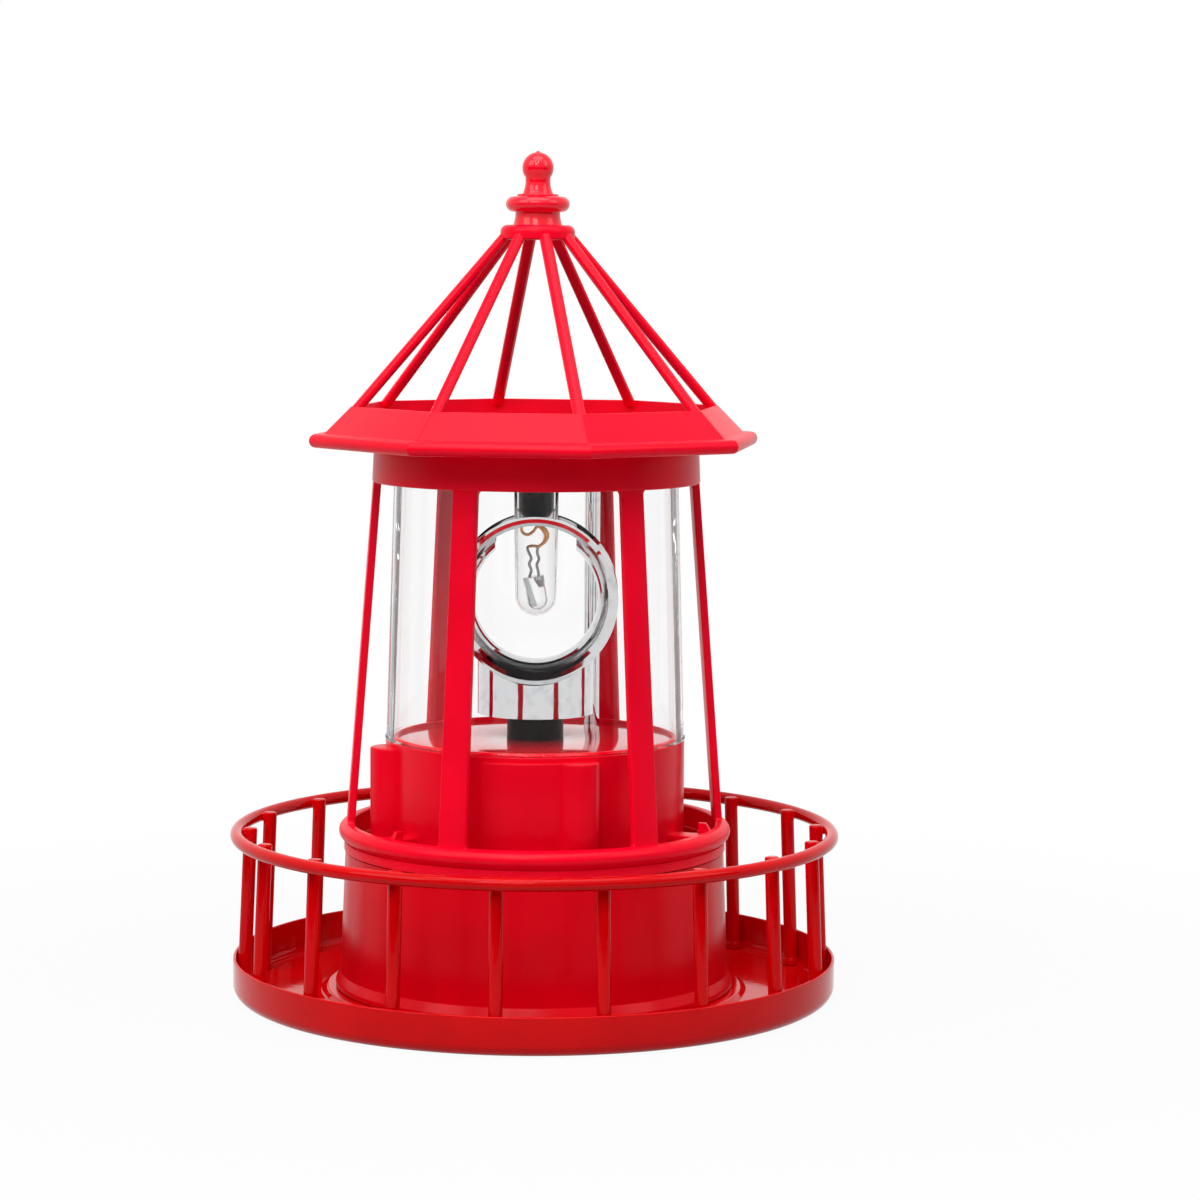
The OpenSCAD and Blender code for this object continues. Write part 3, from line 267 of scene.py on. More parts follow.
def rounded(corners, steps=4):
    """A closed outline. A corner (x, y, r) becomes an arc; a corner (x, y) stays sharp."""
    path = []
    flat, most = 0.01, 0.48
    for i, corner in enumerate(corners):
        here = Vector(corner[:2])
        before = Vector(corners[i - 1][:2]) - here
        after = Vector(corners[(i + 1) % len(corners)][:2]) - here
        half = before.angle(after, 0) / 2
        if len(corner) == 2 or half < flat or half > math.pi / 2 - flat:
            path.append(tuple(here))
            continue
        reach = min(corner[2] / math.tan(half), most * before.length, most * after.length)
        before.normalize()
        after.normalize()
        centre = here + (before + after).normalized() * reach / math.cos(half)
        first = here + before * reach - centre
        last = here + after * reach - centre
        sweep = first.angle(last)
        for k in range(steps + 1):
            share = k / steps
            arm = first * math.sin((1 - share) * sweep) + last * math.sin(share * sweep)
            path.append(tuple(centre + arm / math.sin(sweep)))
    return path


def arc(centre, radius, first, step, count):
    """Points of a round stretch, angles in degrees from the outline's first axis."""
    turns = [math.radians(first + step * i) for i in range(count)]
    return [(centre[0] + radius * math.cos(t), centre[1] + radius * math.sin(t)) for t in turns]


def round_plan(steps):
    """The plan of a turned piece: radius to (x, y) points, from the front (-Y) round."""
    turns = [math.tau * i / steps for i in range(steps)]
    return lambda radius: [(radius * math.sin(t), -radius * math.cos(t)) for t in turns]


def add_turned(bm, outline, plan, move=(0, 0)):
    """Sweeps a closed (radius, height) outline round a plan; radius 0 closes on the axis."""
    rings = []
    for radius, height in outline:
        spots = [(0, 0)] if radius < 1e-6 else plan(radius)
        rings.append([bm.verts.new(((x + move[0]) * MM, (y + move[1]) * MM, height * MM))
                      for x, y in spots])
    for lower, upper in zip(rings, rings[1:] + rings[:1]):
        count = max(len(lower), len(upper))
        if count == 1:
            continue
        for i in range(count):
            loop = [lower[i % len(lower)], lower[(i + 1) % len(lower)],
                    upper[(i + 1) % len(upper)], upper[i % len(upper)]]
            loop = [v for k, v in enumerate(loop) if v not in loop[:k]]
            bm.faces.new(loop)


def to_object(bm, name, crease=32):
    """Closes a bmesh into an object: faces outward, smooth, hard edges past the crease angle."""
    bmesh.ops.recalc_face_normals(bm, faces=bm.faces)
    for face in bm.faces:
        face.smooth = True
    for edge in bm.edges:
        edge.smooth = edge.is_manifold and edge.calc_face_angle(0) < math.radians(crease)
    mesh = bpy.data.meshes.new(name)
    bm.to_mesh(mesh)
    bm.free()
    made = bpy.data.objects.new(name, mesh)
    scene.collection.objects.link(made)
    return made


def turned(name, outline, steps=192, crease=32):
    """A piece turned about the object's axis."""
    bm = bmesh.new()
    add_turned(bm, outline, round_plan(steps))
    return to_object(bm, name, crease)


def dress(piece, body, slot, material, *nodes):
    """Gives a piece its material and its body, and hides the CAD nodes it stands for. The slot is not used.
    """
    piece.data.materials.clear()
    piece.data.materials.append(material)
    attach(piece, body)
    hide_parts(*nodes)


def painted_steel(name, deep, lit):
    """Enamel on steel: long orange peel, uneven gloss, a little dust on the flats."""
    made, w = new_material(name)
    cloud = w.noise(w.place(), 18)
    peel = w.noise(w.place(), 2.2, 2.0)
    speck = w.noise(w.place(), 0.45, 1.0).between(0.72, 0.78)
    colour = cloud.between(0.3, 0.7).tint(deep, lit)
    dusty = (speck * 0.03).tint(colour, linear(226, 150, 150))
    show(w, w.out("ShaderNodeBsdfPrincipled", 0, None, {
        "Base Color": dusty, "Roughness": 0.05 + cloud * 0.05 + speck * 0.15, "IOR": 1.2,
        "Normal": w.bump(peel, 0.02)}))
    return made


gallery_paint = painted_steel("gallery_paint", linear(200, 1, 7), linear(212, 3, 10))
tray_outline = rounded([
    (hole_r, seat_rise, 0.1), (seat_top_r, seat_rise, seat_bend), (seat_foot_r, 0, seat_bend),
    (tray_r, 0, bend_r), (tray_r, tray_h, rim_round), (tray_r - sheet, tray_h, rim_round),
    (tray_r - sheet, sheet, bend_r - sheet), (seat_foot_r + seat_shift, sheet, seat_bend_out),
    (seat_top_r + seat_shift, seat_rise + sheet, seat_bend_out), (hole_r, seat_rise + sheet, 0.25)], 8)
tray = turned("tray_shell", tray_outline, 256, 40)
dress(tray, "base", "gallery_paint", gallery_paint, "gallery_tray")

# Gallery rail
# One length of round wire rolled to a ring and butt welded at the back, where the
# ground weld leaves a low swelling. Painted together with the tray.
rail_c, rail_z, wire_r, rail_steps, wire_sides = 74.0, 40.2, 1.6, 320, 24
weld_turn, weld_swell, weld_width = math.radians(171), 0.22, 1.3
waver, waver_count, waver_start = 0.03, 5, 1.0
bm = bmesh.new()
hoop = []
for i in range(rail_steps):
    turn = math.tau * i / rail_steps
    from_weld = (turn - weld_turn) * rail_c
    swell = weld_swell * math.exp(-(from_weld / weld_width) ** 2)
    radius = wire_r + swell + waver * math.sin(waver_count * turn + waver_start)
    ring = []
    for k in range(wire_sides):
        side = math.tau * k / wire_sides
        reach = rail_c + radius * math.cos(side)
        ring.append(bm.verts.new((reach * math.sin(turn) * MM, -reach * math.cos(turn) * MM,
                                  (rail_z + radius * math.sin(side)) * MM)))
    hoop.append(ring)
for i, ring in enumerate(hoop):
    after = hoop[(i + 1) % len(hoop)]
    for k in range(wire_sides):
        j = (k + 1) % wire_sides
        bm.faces.new((ring[k], ring[j], after[j], after[k]))
rail = to_object(bm, "rail_hoop")
dress(rail, "base", "gallery_paint", gallery_paint, "gallery_rail")

# Rail posts
# Eighteen straight rods stand in the tray's bend and lean in to the wire, with a
# weld bead at the foot and two at the wire. One rod is drawn, nodes set out the ring.
post_r, post_count, post_first = 1.7, 18, -6
foot_c, head_c, foot_z, head_z = 72.25, 70.59, 2.34, 41.5
bead_r, bead_half, bead_aside, bead_inset = 0.5, 1.0, 0.9, 1.45


def loft(bm, sections):
    """Joins equal loops of (x, y, z) points in mm, and caps both ends."""
    loops = [[bm.verts.new((x * MM, y * MM, z * MM)) for x, y, z in loop] for loop in sections]
    for lower, upper in zip(loops, loops[1:]):
        for i in range(len(lower)):
            j = (i + 1) % len(lower)
            bm.faces.new((lower[i], lower[j], upper[j], upper[i]))
    bm.faces.new(loops[0][::-1])
    bm.faces.new(loops[-1])


def ring_tree():
    """Geometry nodes: copies of one template set at equal turns round the axis."""
    tree = bpy.data.node_groups.new("ring_of_copies", "GeometryNodeTree")
    asked = {"Template": "NodeSocketObject", "Count": "NodeSocketInt",
             "First Turn": "NodeSocketFloat", "Finish": "NodeSocketMaterial"}
    for name, kind in asked.items():
        tree.interface.new_socket(name, in_out="INPUT", socket_type=kind)
    tree.interface.new_socket("Geometry", in_out="OUTPUT", socket_type="NodeSocketGeometry")
    w = Wire(tree)
    given = w.node("NodeGroupInput").outputs
    ask = {name: Wire(tree, given[name]) for name in asked}
    template = w.out("GeometryNodeObjectInfo", "Geometry", {"transform_space": "ORIGINAL"},
                     {"Object": ask["Template"]})
    dots = w.out("GeometryNodePoints", 0, None, {"Count": ask["Count"]})
    index = w.out("GeometryNodeInputIndex", 0)
    turn = index * math.tau / ask["Count"] + ask["First Turn"]
    spin = w.out("ShaderNodeCombineXYZ", 0, None, {"Z": turn})
    copies = w.out("GeometryNodeInstanceOnPoints", 0, None, {
        "Points": dots, "Instance": template, "Rotation": spin})
    solid = w.out("GeometryNodeRealizeInstances", 0, None, {"Geometry": copies})
    coated = w.out("GeometryNodeSetMaterial", 0, None,
                   {"Geometry": solid, "Material": ask["Finish"]})
    w.node("NodeGroupOutput", None, {"Geometry": coated})
    return tree


def grow(name, tree, values):
    """Runs a geometry tree on an empty mesh and keeps its result as a plain mesh."""
    made = bpy.data.objects.new(name, bpy.data.meshes.new(name))
    scene.collection.objects.link(made)
    modifier = made.modifiers.new("grow", "NODES")
    modifier.node_group = tree
    for item in tree.interface.items_tree:
        if item.in_out == "INPUT":
            modifier[item.identifier] = values[item.name]
    graph = bpy.context.evaluated_depsgraph_get()
    result = bpy.data.meshes.new_from_object(made.evaluated_get(graph), depsgraph=graph)
    made.modifiers.remove(modifier)
    made.data = result
    return made


ring_copies = ring_tree()


def ring_of(name, template, count, first, material):
    """A ring of copies of a template that stands at the front; first is in degrees."""
    made = grow(name, ring_copies, {
        "Template": template, "Count": count, "First Turn": math.radians(first), "Finish": material})
    bpy.data.objects.remove(template)
    return made


lean = Matrix.Rotation(math.atan2(head_c - foot_c, head_z - foot_z), 3, "X")
rod = rounded([(0, 0), (post_r, 0), (post_r, head_z - foot_z, 0.45), (0, head_z - foot_z)])
foot_bead = rounded([(1.5, -1.3), (2.0, -1.3), (1.95, -0.2, 0.3), (1.72, 0.5, 0.3), (1.5, 0.5)])
wire_bead = rounded([(0, -bead_half), (bead_r, -bead_half, 0.3), (bead_r, bead_half, 0.3), (0, bead_half)])
bm = bmesh.new()
add_turned(bm, rod, round_plan(24))
add_turned(bm, foot_bead, round_plan(24))
for side in (-1, 1):
    start = len(bm.verts)
    add_turned(bm, wire_bead, round_plan(12), (side * bead_aside, -bead_inset))
    for v in list(bm.verts)[start:]:
        v.co.z += (rail_z - foot_z) * MM
for v in bm.verts:
    v.co = lean @ v.co + Vector((0, -foot_c, foot_z)) * MM
posts = ring_of("post_ring", to_object(bm, "post_pattern"), post_count, post_first, gallery_paint)
dress(posts, "base", "gallery_paint", gallery_paint,
      *[f"rail_post_{i:02d}" for i in range(1, post_count + 1)])

# Screws
# Pan head tapping screws of zinc plated steel with a cross recess. One is turned
# and its recess cut, then nodes set out each ring; a thread runs down the shank.
boss_r, column_screw_r, plate_screw_r = 43.4, 38.3, 32.8
column_turns = (17.5, -72.5, 152.5)
case_head_r, case_shank_r, plate_head_r, plate_shank_r = 2.1, 1.1, 1.8, 0.9
head_h, thread_pitch, thread_depth = 0.9, 0.8, 0.2
recess_depth, recess_half, recess_share, recess_narrow = 0.5, 0.24, 0.62, 0.75


def turned_metal(name, colour, rough):
    """Plated steel: fine turning marks round the axis and cloudy plating."""
    made, w = new_material(name)
    cloud = w.noise(w.place(), 2.5)
    lathe = w.noise(w.place(1, 1, 6), 0.22, 2.0)
    stain = w.noise(w.place(), 6.0).between(0.55, 0.75)
    tone = cloud.tint(colour, tuple(min(1.0, c * 1.18) for c in colour[:3]) + (1.0,))
    show(w, w.out("ShaderNodeBsdfPrincipled", 0, None, {
        "Base Color": (stain * 0.35).tint(tone, linear(120, 112, 100)), "Metallic": 1.0,
        "Roughness": rough + cloud * 0.12 + stain * 0.15, "Normal": w.bump(lathe, 0.01)}))
    return made


def screw_pattern(name, node, place, head_r, shank_r):
    """A screw that points up, as tall as its CAD node, in front of the axis by its place."""
    low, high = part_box(node)
    face, length = low.z / MM, (high.z - low.z) / MM
    crown = rounded([(0, 0), (head_r * 0.7, 0.02, 1.2), (head_r, head_h * 0.55, 0.3),
                     (head_r, head_h, 0.08), (shank_r, head_h), (0, head_h)])
    shank = [(0, head_h - 0.05), (shank_r - 0.12, head_h - 0.05)]
    for k in range(int((length - head_h - 1.2) / thread_pitch * 2)):
        shank.append((shank_r - thread_depth * (k % 2), head_h + 0.3 + k * thread_pitch / 2))
    shank += [(shank_r * 0.6, length - 0.8), (0, length)]
    bm = bmesh.new()
    add_turned(bm, crown, round_plan(32))
    add_turned(bm, shank, round_plan(16))
    for v in bm.verts:
        v.co += Vector((0, -place, face)) * MM
    body = to_object(bm, name, 40)

    bm = bmesh.new()
    arm = head_r * recess_share
    for wide, tall in ((arm, recess_half), (recess_half, arm)):
        corners = ((-wide, -tall), (wide, -tall), (wide, tall), (-wide, tall))
        loft(bm, [[(x * s, y * s - place, z) for x, y in corners]
                  for z, s in ((face - 0.3, 1.0), (face + recess_depth, recess_narrow))])
    cutter = to_object(bm, name + "_cut", 20)
    cut = body.modifiers.new("recess", "BOOLEAN")
    cut.operation = "DIFFERENCE"
    cut.object = cutter
    cut.solver = "EXACT"
    cut.use_self = True
    graph = bpy.context.evaluated_depsgraph_get()
    mesh = bpy.data.meshes.new_from_object(body.evaluated_get(graph), depsgraph=graph)
    body.modifiers.clear()
    body.data = mesh
    bpy.data.objects.remove(cutter)
    return body


def turned_copies(name, template, turns, crease=32):
    """Copies of a template that stands at the front, one at each turn in degrees."""
    bm = bmesh.new()
    for turn in turns:
        start = len(bm.verts)
        bm.from_mesh(template.data)
        bm.verts.ensure_lookup_table()
        bmesh.ops.rotate(bm, verts=bm.verts[start:], cent=(0, 0, 0),
                         matrix=Matrix.Rotation(math.radians(turn), 3, "Z"))
    bpy.data.objects.remove(template)
    return to_object(bm, name, crease)


steel = turned_metal("zinc_steel", linear(190, 192, 196), 0.24)
for node, place, first, head_r, shank_r in (
        ("tray_screws", boss_r, 60, case_head_r, case_shank_r),
        ("cover_screws", boss_r, 0, case_head_r, case_shank_r),
        ("body_screws", column_screw_r, None, case_head_r, case_shank_r),
        ("plate_screws", plate_screw_r, 0, plate_head_r, plate_shank_r)):
    pattern = screw_pattern(node + "_pattern", node, place, head_r, shank_r)
    if node == "body_screws":
        screws = turned_copies("body_screw_set", pattern, column_turns, 40)
    else:
        screws = ring_of(node.replace("screws", "screw_ring"), pattern, 3, first, steel)
    dress(screws, "base", "steel", steel, node)

# Base housing
# Injection moulded cup in glossy red plastic: a foot bead, a drafted wall, a deck
# with a locating spigot, and six screw bosses inside.
foot_z0, foot_out_r, foot_in_r, wall_top_r, wall_in_r = 2.0, 49.5, 46.3, 47.1, 45.1
deck_z, deck_t, deck_hole_r = 36, 2, 31
spigot_out_r, spigot_in_r, spigot_h = 45.15, 43.55, 2.2
boss_low, boss_high, boss_out_r, boss_bore_r, boss_count = 4.6, 35.2, 3.4, 1.15, 6


def moulded(name, colour, rough, grain, depth, coat=0.0, drift=0.1):
    """Moulded plastic: slow colour drift, drawn flow lines, pores and light scuffs."""
    made, w = new_material(name)
    cloud = w.noise(w.place(), 22)
    flow = w.noise(w.place(1, 1, 0.2), 9.0, 2.0)
    pore = w.noise(w.place(), grain, 2.0)
    scuff = w.noise(w.place(1, 0.3, 2.6), 0.8, 2.0).between(0.68, 0.75)
    light = tuple(min(1.0, c * (1 + drift)) for c in colour[:3]) + (1.0,)
    dark = tuple(c * (1 - drift) for c in colour[:3]) + (1.0,)
    tone = (cloud * 0.7 + flow * 0.3).between(0.2, 0.8).tint(dark, light)
    dull = tuple(c * 0.8 + 0.05 for c in colour[:3]) + (1.0,)
    show(w, w.out("ShaderNodeBsdfPrincipled", 0, None, {
        "Base Color": (scuff * 0.06).tint(tone, dull), "IOR": 1.22, "Coat Weight": coat,
        "Coat Roughness": 0.05, "Roughness": rough + cloud * 0.08 + scuff * 0.14,
        "Normal": w.bump(pore + flow * 0.6, depth)}))
    return made


housing_outline = rounded([
    (foot_in_r, foot_z0, 0.2), (foot_out_r, foot_z0, 1.3), (foot_out_r, 3.5, 0.9), (48.3, 5.8, 1.0),
    (wall_top_r, deck_z, 0.06), (spigot_out_r, deck_z), (spigot_out_r, deck_z + spigot_h, 0.3),
    (spigot_in_r, deck_z + spigot_h, 0.3), (spigot_in_r, deck_z), (deck_hole_r, deck_z, 0.3),
    (deck_hole_r, deck_z - deck_t, 0.2), (wall_in_r, deck_z - deck_t, 0.6)], 6)
boss = rounded([(boss_bore_r, boss_low, 0.15), (boss_out_r, boss_low, 0.2), (boss_out_r, boss_high),
                (boss_bore_r, boss_high)])
bm = bmesh.new()
add_turned(bm, housing_outline, round_plan(256))
for i in range(boss_count):
    turn = math.tau * i / boss_count
    add_turned(bm, boss, round_plan(32), (boss_r * math.sin(turn), -boss_r * math.cos(turn)))
housing = to_object(bm, "housing_shell")
# Painted shade: a darker copy of the cage's red plastic, for the housing low under the roof and behind the
# rail.
housing_red_painted_shade = moulded("housing_red_painted_shade", linear(210, 0, 22), 0.24, 0.7, 0.008)
dress(housing, "base", "red_plastic", housing_red_painted_shade, "base_housing")

# Bottom cover, door and power
# The cover, its battery door, the cell with its contacts, the board and the switch
# keep their CAD shapes; each gets its own material, and the door gets a drawn screw.
band_from, band_to, tip_low, tip_high = 0.0095, 0.0098, -0.026, 0.024
tip_soft = 0.0002


def keep(material, *nodes):
    """A CAD node whose shape is right stays, and takes a material."""
    for node in nodes:
        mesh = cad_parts[node].data
        if not mesh.materials:
            mesh.materials.append(material)
        for i in range(len(mesh.materials)):
            mesh.materials[i] = material


cover_plastic = moulded("cover_plastic", linear(190, 16, 30), 0.42, 0.35, 0.03)
keep(cover_plastic, "bottom_cover", "battery_door")
keep(steel, "contact_plate", "contact_spring")
door_low, door_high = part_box("door_screw")
door_screw = screw_pattern("door_screw_piece", "door_screw", 0, case_head_r, case_shank_r)
middle = (door_low + door_high) / 2
for v in door_screw.data.vertices:
    v.co += Vector((middle.x, middle.y, 0))
dress(door_screw, "base", "steel", steel, "door_screw")

sleeve, w = new_material("cell_sleeve")
axis = w.along("X")
band = axis.between(band_from, band_to)
tip = 1 - axis.between(tip_low - tip_soft, tip_low + tip_soft) + axis.between(
    tip_high - tip_soft, tip_high + tip_soft)
wrap = w.noise(w.place(0.3, 1, 1), 1.2, 2.0)
label = band.tint(linear(24, 96, 52), linear(188, 150, 60))
bare_tip = w.maths("MINIMUM", tip, 1.0)
show(w, w.out("ShaderNodeBsdfPrincipled", 0, None, {
    "Base Color": bare_tip.tint(label, linear(198, 198, 194)), "Metallic": bare_tip * 0.9 + band * 0.1,
    "Roughness": 0.24 + wrap * 0.14, "Normal": w.bump(wrap, 0.015)}))
keep(sleeve, "battery_cell")

board, w = new_material("circuit_board")
mask = w.noise(w.place(), 0.6, 2.0)
trace = w.out("ShaderNodeTexBrick", 1, {"offset": 0.4}, {
    "Vector": w.place(), "Scale": 260.0, "Mortar Size": 0.09, "Mortar Smooth": 0.1})
pads = w.out("ShaderNodeTexVoronoi", 0, {"feature": "F1"}, {"Vector": w.place(), "Scale": 420.0})
solder = 1 - pads.between(0.16, 0.2)
coated = trace.tint(linear(18, 82, 44), linear(36, 118, 62))
show(w, w.out("ShaderNodeBsdfPrincipled", 0, None, {
    "Base Color": solder.tint(coated, linear(190, 190, 186)), "Metallic": solder * 0.9,
    "Roughness": 0.22 + mask * 0.18, "Normal": w.bump(trace + solder, 0.03)}))
keep(board, "circuit_board")

black_plastic = moulded("black_plastic", linear(14, 14, 16), 0.3, 0.5, 0.015)
keep(black_plastic, "switch_case", "switch_knob")

# Upper body
# Moulded wall with half round screw columns, a flat pad at the front, bayonet lugs
# for the cage, inside stands for the gear plate and a ring that locates the tube.
body_r, body_in_r, body_top, disc_seat = 37.1, 35.2, 64, 62.2
locator_r, locator_h, seat_r, ledge_r, ledge_z = 34.95, 0.7, 34.0, 32.2, 60.6
column_r, column_c, column_top = 5.1, 36.9, 62.9
pad_r, pad_first, pad_last = 38.3, -18.5, 10.5
lug_turn, lug_half, lug_r, lug_low, lug_high, lug_count = -53.3, 4.3, 44.2, 40.9, 42.4, 3
stand_half, stand_in, stand_low, stand_high = 2.5, 30.6, 52.05, 61.4
root_r = 36.2


def add_block(bm, outline, low, high, edge, arcs=3, shape=None):
    """Raises a closed (x, y) outline from low to high with rounded rims."""
    count = len(outline)
    area = 0
    for i in range(count):
        area += outline[i - 1][0] * outline[i][1] - outline[i][0] * outline[i - 1][1]
    way = 1 if area > 0 else -1
    inward = []
    for i in range(count):
        before = (Vector(outline[i]) - Vector(outline[i - 1])).normalized()
        after = (Vector(outline[(i + 1) % count]) - Vector(outline[i])).normalized()
        lean_in = Vector((-before.y - after.y, before.x + after.x)) * way
        inward.append(lean_in.normalized() / max(0.4, (lean_in.length / 2)))
    levels = []
    for k in range(arcs + 1):
        turn = math.pi / 2 * k / arcs
        levels.append((low + edge * (1 - math.sin(turn)), edge * (1 - math.cos(turn))))
    levels = levels[::-1] + [(high - (z - low), shrink) for z, shrink in levels]
    sections = []
    for z, shrink in levels:
        loop = [(x + n.x * shrink, y + n.y * shrink, z) for (x, y), n in zip(outline, inward)]
        sections.append([shape(*point) for point in loop] if shape else loop)
    loft(bm, sections)


def sector(inner, outer, first, last, steps=12):
    """The plan of a piece of a ring, angles in degrees from the front."""
    turns = [math.radians(first + (last - first) * i / steps) for i in range(steps + 1)]
    outside = [(outer * math.sin(t), -outer * math.cos(t)) for t in turns]
    return outside + [(inner * math.sin(t), -inner * math.cos(t)) for t in turns[::-1]]


def turned_plan(outline, degrees):
    """An (x, y) outline turned about the axis."""
    spin = Matrix.Rotation(math.radians(degrees), 2)
    return [tuple(spin @ Vector(point)) for point in outline]


wall_outline = rounded([
    (body_in_r, deck_z, 0.2), (body_r, deck_z, 0.25), (body_r, body_top, 0.3), (locator_r, body_top),
    (locator_r, body_top + locator_h, 0.2), (seat_r, body_top + locator_h, 0.2), (seat_r, disc_seat),
    (ledge_r, disc_seat, 0.2), (ledge_r, ledge_z, 0.2), (body_in_r, 58.8)])
column = arc((0, -column_c), column_r, -186, 4, 49)
stand = ((-stand_half, -root_r), (stand_half, -root_r), (stand_half, -stand_in), (-stand_half, -stand_in))
bm = bmesh.new()
add_turned(bm, wall_outline, round_plan(192))
for turn in column_turns:
    add_block(bm, turned_plan(column, turn), deck_z, column_top, 0.45)
add_block(bm, sector(root_r, pad_r, pad_first, pad_last), 36.3, 62.8, 0.4)
for i in range(lug_count):
    lug = lug_turn + 360 / lug_count * i
    add_block(bm, sector(root_r, lug_r, lug - lug_half, lug + lug_half, 5), lug_low, lug_high, 0.3)
    add_block(bm, turned_plan(stand, 360 / lug_count * i), stand_low, stand_high, 0.3)
upper = to_object(bm, "upper_body_shell")
# Painted shade: a darker copy of the cage's red plastic, for the upper body in the shade of the roof and the
# legs.
body_red_painted_shade = moulded("body_red_painted_shade", linear(232, 0, 33), 0.26, 0.7, 0.008)
dress(upper, "base", "red_plastic", body_red_painted_shade, "upper_body")

# Gear train and spindle
# Gear plate, motor, pinion and idler sit hidden in the upper body; the spindle
# carries the beacon up through the floor disc. All keep their CAD shapes.
gear_plastic = moulded("gear_plastic", linear(228, 224, 208), 0.4, 0.4, 0.02, 0.0, 0.04)
brass = turned_metal("brass", linear(214, 176, 96), 0.22)
keep(gear_plastic, "gear_plate", "idler_gear")
keep(brass, "motor_pinion")
keep(steel, "idler_axle", "motor")
keep(black_plastic, "spindle")

# Floor disc
# A polished red plastic disc with a round hole for the spindle. It lies on the ledge
# of the upper body, inside the ring that locates the tube.
disc_r, disc_hole_r = 33.95, 7.05
polished = moulded("polished_red", linear(214, 8, 28), 0.05, 1.4, 0.004, 0.6)
disc_outline = rounded([(disc_hole_r, disc_seat, 0.1), (disc_r, disc_seat, 0.1),
                        (disc_r, body_top, 0.12), (disc_hole_r, body_top, 0.3)])
disc = turned("floor_disc_plate", disc_outline)
dress(disc, "base", "red_plastic", polished, "floor_disc")

# Beacon reflector and wire tube
# Vacuum plated plastic: an hourglass ring in the saddle of a drum. The plating
# follows faint ripples of the moulding and has a few dull spots.
chrome, w = new_material("chrome")
ripple = w.noise(w.place(), 5.0, 1.0)
haze = w.noise(w.place(), 3.0, 4.0).between(0.45, 0.8)
fine = w.noise(w.place(1, 1, 8), 0.3, 2.0)
show(w, w.out("ShaderNodeBsdfPrincipled", 0, None, {
    "Base Color": haze.tint(linear(216, 217, 218), linear(198, 199, 200)), "Metallic": 1.0,
    "Roughness": 0.045 + haze * 0.06, "Normal": w.bump(ripple * 0.06 + fine * 0.0003, 1.0)}))
keep(chrome, "reflector", "conduit")

# Clear tube
# Moulded clear plastic, thick walled, drafted toward the top, with a small foot lip
# that stands on the upper body.
tube_low, tube_high, tube_foot_r, tube_bore_r = 64.05, 134.1, 36.95, 35.05
tube_top_r, tube_top_bore_r, tube_lip_r, tube_lip_h = 34.95, 33.05, 37.3, 0.45


def clear(name, middle, rim, rough, ior, ripple_size, depth):
    """Clear plastic or glass that lets lamp light through; its colour greys toward the rim as seen, as
    painted shade.
    """
    made, w = new_material(name)
    ripple = w.noise(w.place(1, 1, 0.35), ripple_size, 1.5)
    smear = w.noise(w.place(), 6.0).between(0.5, 0.85)
    edge_shade_facing = w.out("ShaderNodeLayerWeight", "Facing", None, {"Blend": 0.5})
    face = ripple.tint((middle, middle, middle, 1), (1, 1, 1, 1))
    body = w.out("ShaderNodeBsdfPrincipled", 0, None, {
        # Painted shade: the colour greys where the surface turns away from the eye.
        "Base Color": edge_shade_facing.tint(face, (rim, rim, rim, 1)), "Transmission Weight": 1.0, "IOR": ior,
        "Coat Weight": 0.35 + smear * 0.2, "Coat Roughness": 0.02, "Roughness": rough + smear * 0.01,
        "Normal": w.bump(ripple, depth)})
    passes = w.out("ShaderNodeBsdfTransparent", 0, None, {"Color": (0.94, 0.95, 0.95, 1)})
    shadow = w.out("ShaderNodeLightPath", "Is Shadow Ray")
    show(w, w.out("ShaderNodeMixShader", 0, None, {0: shadow, 1: body, 2: passes}))
    return made


clear_plastic = clear("clear_plastic", 0.99, 0.94, 0.0, 1.04, 8.0, 0.006)
tube_outline = rounded([
    (tube_bore_r, tube_low, 0.15), (tube_lip_r, tube_low, 0.2), (tube_lip_r, tube_low + tube_lip_h, 0.25),
    (tube_foot_r, 64.85, 0.3), (tube_top_r, tube_high, 0.2), (tube_top_bore_r, tube_high, 0.2)], 5)
tube = turned("tube_wall", tube_outline, 256, 30)
dress(tube, "base", "clear_plastic", clear_plastic, "clear_tube")

# Solar unit
# A black dish that caps the tube, with a round silicon panel cemented in it. Fine
# silver fingers and wider bus bars run over the cells.
dish_floor, dish_skirt, dish_top = 136.15, 131.15, 139.25
dish_out_r, dish_skirt_r, dish_in_r = 36.05, 35.15, 33.1
panel_low, panel_high, panel_r = 136.2, 138.6, 33.05
finger_pitch, bus_pitch, cell_pitch = 0.0018, 0.016, 0.0165
holder_outline = rounded([
    (0, 134.15), (dish_skirt_r, 134.15), (dish_skirt_r, dish_skirt, 0.2), (dish_out_r, dish_skirt, 0.2),
    (dish_out_r, dish_top, 0.35), (dish_in_r, dish_top, 0.3), (dish_in_r, dish_floor), (0, dish_floor)])
holder = turned("solar_dish", holder_outline, 160)
dress(holder, "base", "black_plastic", black_plastic, "solar_holder")

